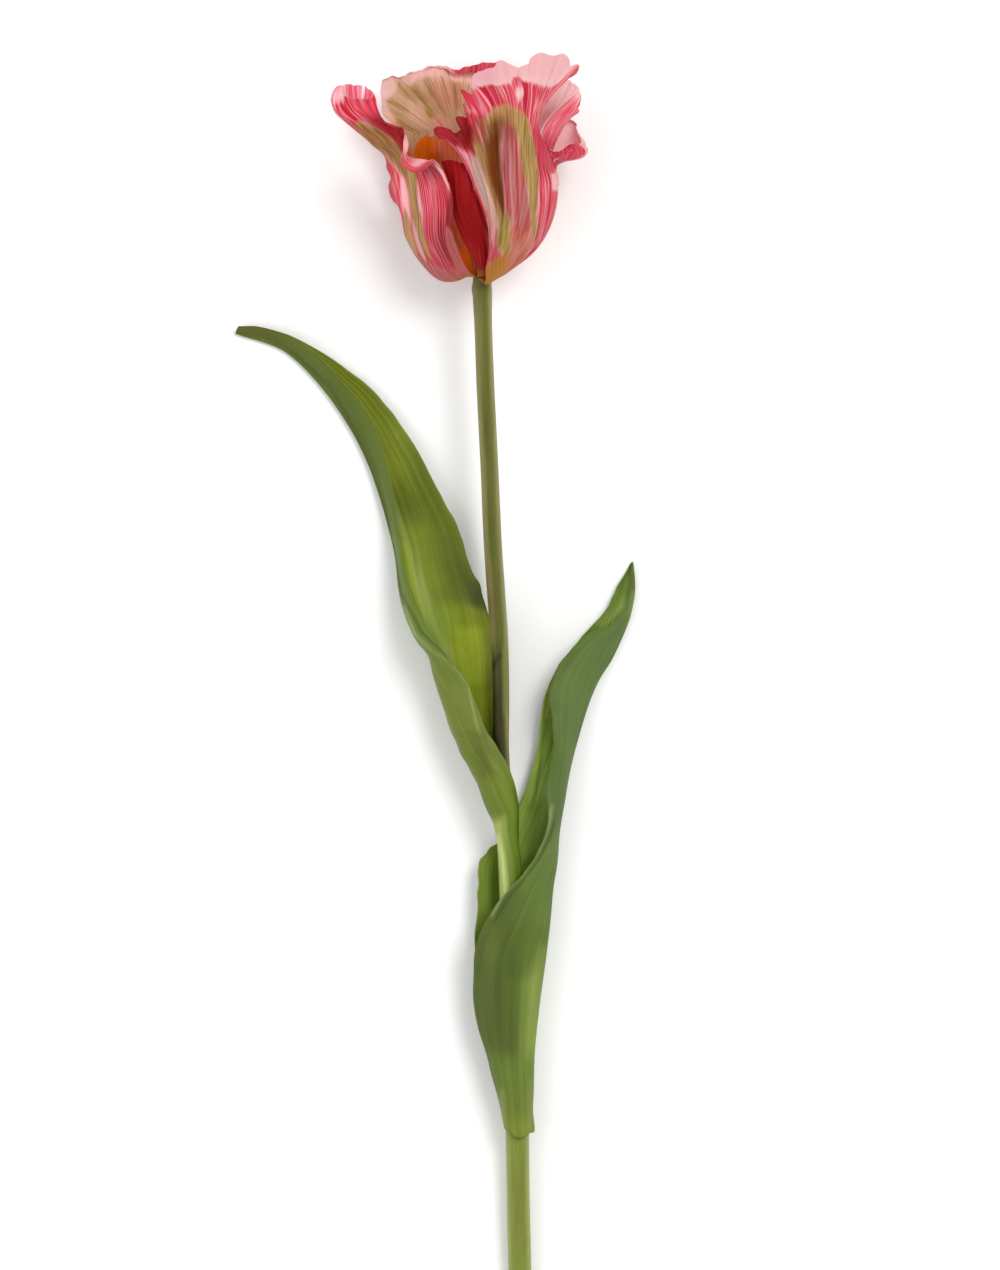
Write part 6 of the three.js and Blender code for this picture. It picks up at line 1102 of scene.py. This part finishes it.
    # right inner tepal
    P, A, C, S, T = organ("TEPAL_INNER_RIGHT", 150, 150)
    s, t = S[:, 0], T[0]
    P = push(P, pleats(T, S, 11, 0.12, 41) + 0.5 * sm(S, 0.75, 1) * wobble(T, 45, 5, 2, 7))
    P = trace(P, "first", [(533, 165), (534.5, 155), (536, 145), (538.8, 135), (543, 126), (548.5, 118), (554.5, 112), (560.5, 107), (567, 101), (573, 95), (577, 89.5)], 0.2)
    P = nudge(P, [(588, 95, -4.5, 0.5, 6), (577, 113, 3.4, 0, 4.5), (581, 101, -0.8, 0, 5), (578, 108.5, -1.6, 0, 2.4), (576, 119, -1.5, 0, 3)])
    P = fringe_top(P, S, 0.6 * np.abs(np.sin(6.3 * np.pi * t)) ** 0.7 + 0.5 * teeth(t, 44, 42) - 0.4, 0.92)
    P = fringe_side(P, T, sm(s, 0.6, 0.85) * (0.45 * teeth(s, 60, 43) - 0.15), True, 0.09)
    P = fringe_side(P, T, sm(s, 0.6, 0.85) * (2.0 * teeth(s, 56, 44) - 0.4), False, 0.06)
    f = Paint(P, red=0.25, pale=0.2, lines=0.3).on(sm(S, 0.4, 0.2), warm=1.0).on(bump(T, 0.5, 0.17) * sm(S, 0.3, 0.55) * sm(S, 0.95, 0.6), olive=0.5)
    f.area([(535, 76), (585, 76), (590, 104), (545, 150), (530, 135)], 4, pale=1.0, red=0.15, olive=0, lines=0.2, tint_and_shading=(1.08, 1.28, 1.26))
    f.area([(538, 112), (552, 104), (560, 108), (548, 126), (538, 132)], 7, pale=0.35, dusky=0.5, tint_and_shading=(0.95, 0.84, 0.84))
    o = Paint(P, red=0.5, lines=0.8, deep_and_shade=0.1).flame(S, T)
    o.area([(540, 156), (546, 124), (560, 108), (577, 82), (590, 96), (578, 116), (560, 136), (552, 152)], 3, red=0.85, pale=0, olive=0, lines=0.9, deep_and_shade=0, white=0)
    o.area([(546, 128), (558, 112), (574, 92), (586, 100), (574, 120), (560, 140), (550, 150)], 4, red=0.8, pale=0.25, tint_and_shading=(1.25, 1.5, 1.5))
    o.area([(540, 156), (545, 130), (549, 130), (549, 152)], 4, red=1.05, deep_and_shade=0.35, lines=0.3)
    o.area([(572, 84), (582, 84), (584, 96), (576, 99)], 4, pale=0.85, red=0.3)
    tepal("tepal_inner_right", (inner, outer), "tepal_crimson", P, S, T, f, o)

    # back inner tepal
    P, A, C, S, T = organ("TEPAL_INNER_BACK", 170, 190)
    s, t = S[:, 0], T[0]
    P = push(P, pleats(T, S, 13, 0.11, 51) + 0.45 * sm(S, 0.75, 1) * wobble(T, 55, 5, 2, 7))
    P = nudge(P, [(456, 66, 0, 4.2, 11), (441, 64, 0, -1.6, 4), (471, 64, 0, 1.4, 6), (384, 112, -3.2, 0, 9), (382, 92, -2.4, 0, 12), (400, 78, 0, 1.2, 5), (390, 74, 0, -1.0, 6), (416, 70, 0, -1.2, 8), (393, 124, 0, -2.0, 5), (500, 62, 0, -1, 6)])
    P = fringe_top(P, S, 0.25 * teeth(t, 60, 52) - 0.1, 0.94)
    P = fringe_side(P, T, sm(s, 0.6, 0.85) * (0.35 * teeth(s, 46, 53) - 0.1), True, 0.07)
    P = fringe_side(P, T, sm(s, 0.5, 0.85) * (0.9 * teeth(s, 46, 54)), False, 0.07)
    f = Paint(P, red=0.55, lines=0.8, deep_and_shade=0.1).flame(S, T)
    f.area([(452, 56), (510, 50), (520, 84), (470, 84), (456, 80)], 6, red=1.2, pale=0, lines=0.3, olive=0, warm=0)
    o = Paint(P, (0.8, 0.4), red=0.14, lines=0.3, olive=0.34)
    U, V = o.U, o.V
    ang = np.arctan2(150.0 - V, 462.0 - U)
    far = np.hypot(U - 462.0, V - 150.0)
    fan = sm(V, 142, 130)
    o.area([(378, 70), (398, 74), (396, 88), (390, 97), (378, 100)], 5, pale=1.2, olive=0, red=0, tint_and_shading=(1.16, 1.3, 1.6))
    o.area([(400, 74), (420, 69), (424, 76), (408, 86), (400, 82)], 4, pale=0.8, olive=0.1, tint_and_shading=(1.08, 1.12, 1.24))
    for pts, w in (([(394, 78), (400, 87), (408, 96), (419, 107)], 2.2), ([(422, 70), (427, 80), (431, 93)], 1.3), ([(439.5, 71), (444, 86), (449, 100)], 1.2), ([(451, 75), (455, 92), (458, 108)], 1.1), ([(461, 77), (462, 92)], 1.0),
                   ([(386, 99), (398, 105), (412, 112)], 1.1), ([(390, 110), (404, 117), (420, 126), (430, 130)], 1.8), ([(425, 113), (433, 110), (441, 118), (450, 127)], 1.9), ([(396, 121), (410, 128), (424, 133)], 1.3), ([(432, 92), (440, 106), (448, 118)], 0.9)):
        o.line(pts, 0.7 * w, 3.4, olive=0.9, tint_and_shading=(0.88, 0.88, 0.78))
    o.area([(404, 86), (416, 90), (428, 98), (432, 108), (420, 108), (408, 100)], 6, olive=0.6, tint_and_shading=(0.86, 0.82, 0.74))
    # partly painted light: pale of its own and brightened to offset the shadow of the overhanging rim
    o.area([(412, 66), (430, 62), (446, 68), (456, 72), (456, 80), (440, 79), (426, 78), (412, 80)], 4, pale=0.7, tint_and_shading=(1.26, 1.24, 1.6))
    o.area([(378, 100), (386, 101), (389, 111), (397, 122), (390, 124), (380, 114)], 3, pale=0.7, olive=0.2, tint_and_shading=(1.06, 1.16, 1.4))
    o.area([(430, 82), (462, 84), (464, 110), (440, 108), (428, 90)], 8, tint_and_shading=(0.94, 0.74, 0.76))
    # painted light: brightened to offset the shadow under the overhanging rim
    o.area([(450, 72), (474, 72), (474, 84), (460, 84), (450, 80)], 4, pale=0.6, tint_and_shading=(1.55, 1.45, 1.9))
    for x in (434, 447, 456, 463):
        o.line([(x, 70), (x + 1.5, 84)], 0.5, 2.0, olive=0.8, pale=0)
    o.area([(408, 100), (428, 106), (440, 126), (424, 130), (408, 118)], 8, olive=0.1, tint_and_shading=(1.14, 1.18, 1.2))
    o.area([(426, 113), (438, 115), (450, 123), (450, 130), (436, 126), (426, 121)], 5, olive=0.05, red=0.35, tint_and_shading=(1.32, 1.06, 1.2))
    o.area([(424, 106), (430, 108), (434, 118), (428, 118)], 4, olive=0.9, tint_and_shading=(1.0, 1.05, 0.8))
    o.area([(384, 112), (398, 120), (412, 130), (400, 132), (390, 124), (382, 116)], 5, tint_and_shading=(0.94, 0.8, 0.72))
    o.on(sm(V, 160, 178), warm=1.0, olive=0, red=0.1, tint_and_shading=(0.9, 0.9, 1))
    o.area([(360, 134), (398, 136), (411, 150), (414, 176), (380, 176), (350, 160)], 9, warm=0.9, olive=0, tint_and_shading=(0.9, 0.9, 1))
    o.area([(432, 136), (440, 136), (452, 146), (464, 160), (472, 176), (462, 176), (446, 166), (436, 158), (432, 148)], 3, dusky=1.3, red=0.3, olive=0, pale=0, lines=0.2, tint_and_shading=(1.35, 1.3, 1.05))
    o.area([(413, 160), (414.5, 148), (418, 139.5), (426, 134.5), (433, 137.5), (434.5, 146), (434, 152), (442, 162), (430, 168), (414, 166)], 1.6, warm=1.1, olive=0, red=0.1)
    o.area([(428, 152), (440, 152), (446, 164), (436, 170), (426, 160)], 4, tint_and_shading=(0.9, 0.84, 0.9))
    o.area([(430, 178), (470, 178), (490, 240), (496, 290), (440, 290), (420, 250), (424, 190)], 9, warm=1.1, olive=0, red=0.1, lines=0.1, tint_and_shading=(1.4, 1.6, 2.4))
    o.area([(448, 216), (456, 220), (464, 242), (468, 256), (460, 258), (450, 240)], 5, dusky=0.5, tint_and_shading=(1.7, 1.9, 2.2))
    o.area([(458, 246), (466, 250), (474, 268), (470, 276), (460, 262)], 4, tint_and_shading=(1.9, 2.2, 2.4))
    o.area([(448, 212), (454, 212), (460, 240), (466, 252), (458, 250), (450, 234)], 4, dusky=0.8, warm=0.3, tint_and_shading=(1.2, 1.1, 1.3))
    o.on(sm(V, 272, 282), tint_and_shading=(0.8, 0.7, 0.6))
    st = np.stack([T + (ang / 1.9 - T) * fan, 0.35 * S + (far / 260.0 - 0.35 * S) * fan], -1)
    tepal("tepal_inner_back", (outer, cream), "tepal_pink", P, S, T, f, o, st=st)


# ---------------------------------------------------------------- pistil and stamens
def build_middle():
    ax = np.array(AXIS)

    def at(s, dx=0.0, dz=0.0):
        return ax + np.array([dx, s, s * 0.045 + dz])
    g = Mat("pistil_skin", 0.42, subsurface=0.12)
    t, s = g.uv()
    n = g.noise(g.vec(g.math("MULTIPLY", t, 20.0), g.math("MULTIPLY", s, 8.0)), 1.0, 3.0)
    c = g.mix(g.smooth(n, 0.3, 0.7), lin(186, 200, 126), lin(150, 172, 92))
    c = g.mix(g.smooth(s, 0.46, 0.56), c, lin(228, 214, 140))
    c = g.mix(g.math("MULTIPLY", g.smooth(s, 0.6, 1.0), g.smooth(n, 0.35, 0.65)), c, lin(206, 196, 116))
    g.colour(c)
    g.bump(n, 0.35, 0.0004)
    S = np.array([0, 2.5, 7, 13, 19, 22.5, 23.5, 25, 26.6, 27.4, 27.8, 27.9])
    R = np.array([2.1, 2.31, 3.15, 3.5, 3.08, 2.45, 3.9, 5.2, 5.2, 4.1, 2.4, 0.6])
    k = np.linspace(0, len(S) - 1, 88)
    q = cr(np.stack([S, R, 0 * S], -1)[:, None], k, 0)[:, 0]

    def ribs(w, s):
        """Three soft ribs below, three furrowed lobes with a frilled rim at the top."""
        c = np.cos(3 * w + np.pi / 2)
        lobe = 0.68 + 0.51 * ((1 + c) / 2) ** 0.55 - 0.15 * np.exp((c - 1) / 0.06) + 0.02 * np.cos(30 * w)
        return 1 + 0.07 * c + (lobe - 1 - 0.07 * c) * sm(s, 0.44, 0.58)
    ob = tube("pistil_body", [at(v) for v in q[:, 0]], np.maximum(q[:, 1], 0.4), 90, (g.m,), ribs)
    place(ob, "pistil", slot="pistil_green")
    f = Mat("filament_skin", 0.5, subsurface=0.1)
    t, s = f.uv()
    n = f.noise(f.vec(f.math("MULTIPLY", t, 5.0), f.math("MULTIPLY", s, 6.0)), 1.0, 2.0)
    f.colour(f.mix(f.smooth(s, 0.5, 1.0), f.mix(f.smooth(n, 0.3, 0.7), lin(222, 176, 84), lin(204, 146, 56)), lin(150, 112, 70)))
    f.bump(n, 0.3, 0.0003)
    a = Mat("anther_skin", 0.88, subsurface=0.0)
    tc = a.node("ShaderNodeTexCoord")
    n = a.noise(tc.outputs["Object"], 2600.0, 3.0, 0.6)
    a.colour(a.mix(a.smooth(n, 0.35, 0.7), lin(44, 28, 40), lin(92, 68, 66)))
    a.bump(n, 0.6, 0.0004)
    L = 17.0
    for i in range(6):
        w0 = (i + 0.5) * math.pi / 3

        def p(s):
            sp = 3.6 + 4.2 * (max(s, 0) / L) ** 0.9
            return at(s, sp * math.cos(w0), sp * math.sin(w0))
        ss = np.linspace(0.2, L, 24)
        rr = 0.75 * np.interp(ss, [0.2, 4, 9, 14, L], [0.9, 1.22, 0.98, 0.68, 0.45])
        place(tube("filament_%d_thread" % (i + 1), [p(v) for v in ss], rr, 16, (f.m,)), "filament_%d" % (i + 1), slot="filament_cream")
        u = np.linspace(0, 1, 36)
        ss = L + 0.4 + 12.5 * u
        rr = 1.42 * np.interp(u, [0, 0.06, 0.25, 0.7, 0.93, 1], [0.3, 0.75, 1, 0.95, 0.7, 0.25]) * (1 + 0.03 * np.sin(40 * u))
        place(tube("anther_%d_sacs" % (i + 1), [p(v) for v in ss], rr, 28, (a.m,), lambda w, s, w0=w0: 0.84 + 0.15 * np.cos(2 * (w - w0)) - 0.05 * np.cos(4 * w)), "anther_%d" % (i + 1), slot="anther_dark")


build_stem()
build_leaves()
build_tepals()
build_middle()



# ---------------------------------------------------------------- surface, light, camera
def stage():
    g = Mat("floor_pale", 0.7)
    tc = g.node("ShaderNodeTexCoord")
    n = g.noise(tc.outputs["Object"], 3.0, 4.0, 0.5)
    g.colour(g.mix(g.smooth(n, 0.3, 0.7), lin(247, 247, 246), lin(250, 250, 249)))
    me = bpy.data.meshes.new("floor")
    e = 30.0
    me.from_pydata([(-e, -e, 0), (e, -e, 0), (e, e, 0), (-e, e, 0)], [], [(0, 1, 2, 3)])
    floor = bpy.data.objects.new("floor", me)
    bpy.context.scene.collection.objects.link(floor)
    me.materials.append(g.m)
    w = bpy.data.worlds.new("pale")
    bpy.context.scene.world = w
    w.use_nodes = True
    w.node_tree.nodes["Background"].inputs[0].default_value = (1.0, 1.0, 1.0, 1)
    w.node_tree.nodes["Background"].inputs[1].default_value = 0.72

    def lamp(name, at, aim, size, power, colour=(1, 1, 1)):
        d = bpy.data.lights.new(name, "AREA")
        d.energy, d.size, d.color = power, size, colour
        d.shape = "SQUARE"
        o = bpy.data.objects.new(name, d)
        bpy.context.scene.collection.objects.link(o)
        at, aim = np.array(at), np.array(aim)
        from mathutils import Vector
        o.location = Vector(at)
        o.rotation_euler = Vector(aim - at).to_track_quat("-Z", "Y").to_euler()
    lamp("key", (0.9, 0.9, 1.9), (0, 0.05, 0), 0.9, 26)
    lamp("fill", (-1.3, -0.3, 1.5), (0, 0, 0), 1.4, 9)


def camera():
    d = bpy.data.cameras.new("cam")
    d.lens, d.sensor_width = 248.479, 36
    d.clip_start, d.clip_end = 0.05, 100
    o = bpy.data.objects.new("cam", d)
    bpy.context.scene.collection.objects.link(o)
    o.location = (0.02424, 0.01958, 3.3511)
    o.rotation_euler = (0, 0, 0)
    bpy.context.scene.camera = o
    bpy.context.scene.view_settings.view_transform = "Standard"
    bpy.context.scene.view_settings.look = "None"


stage()
camera()
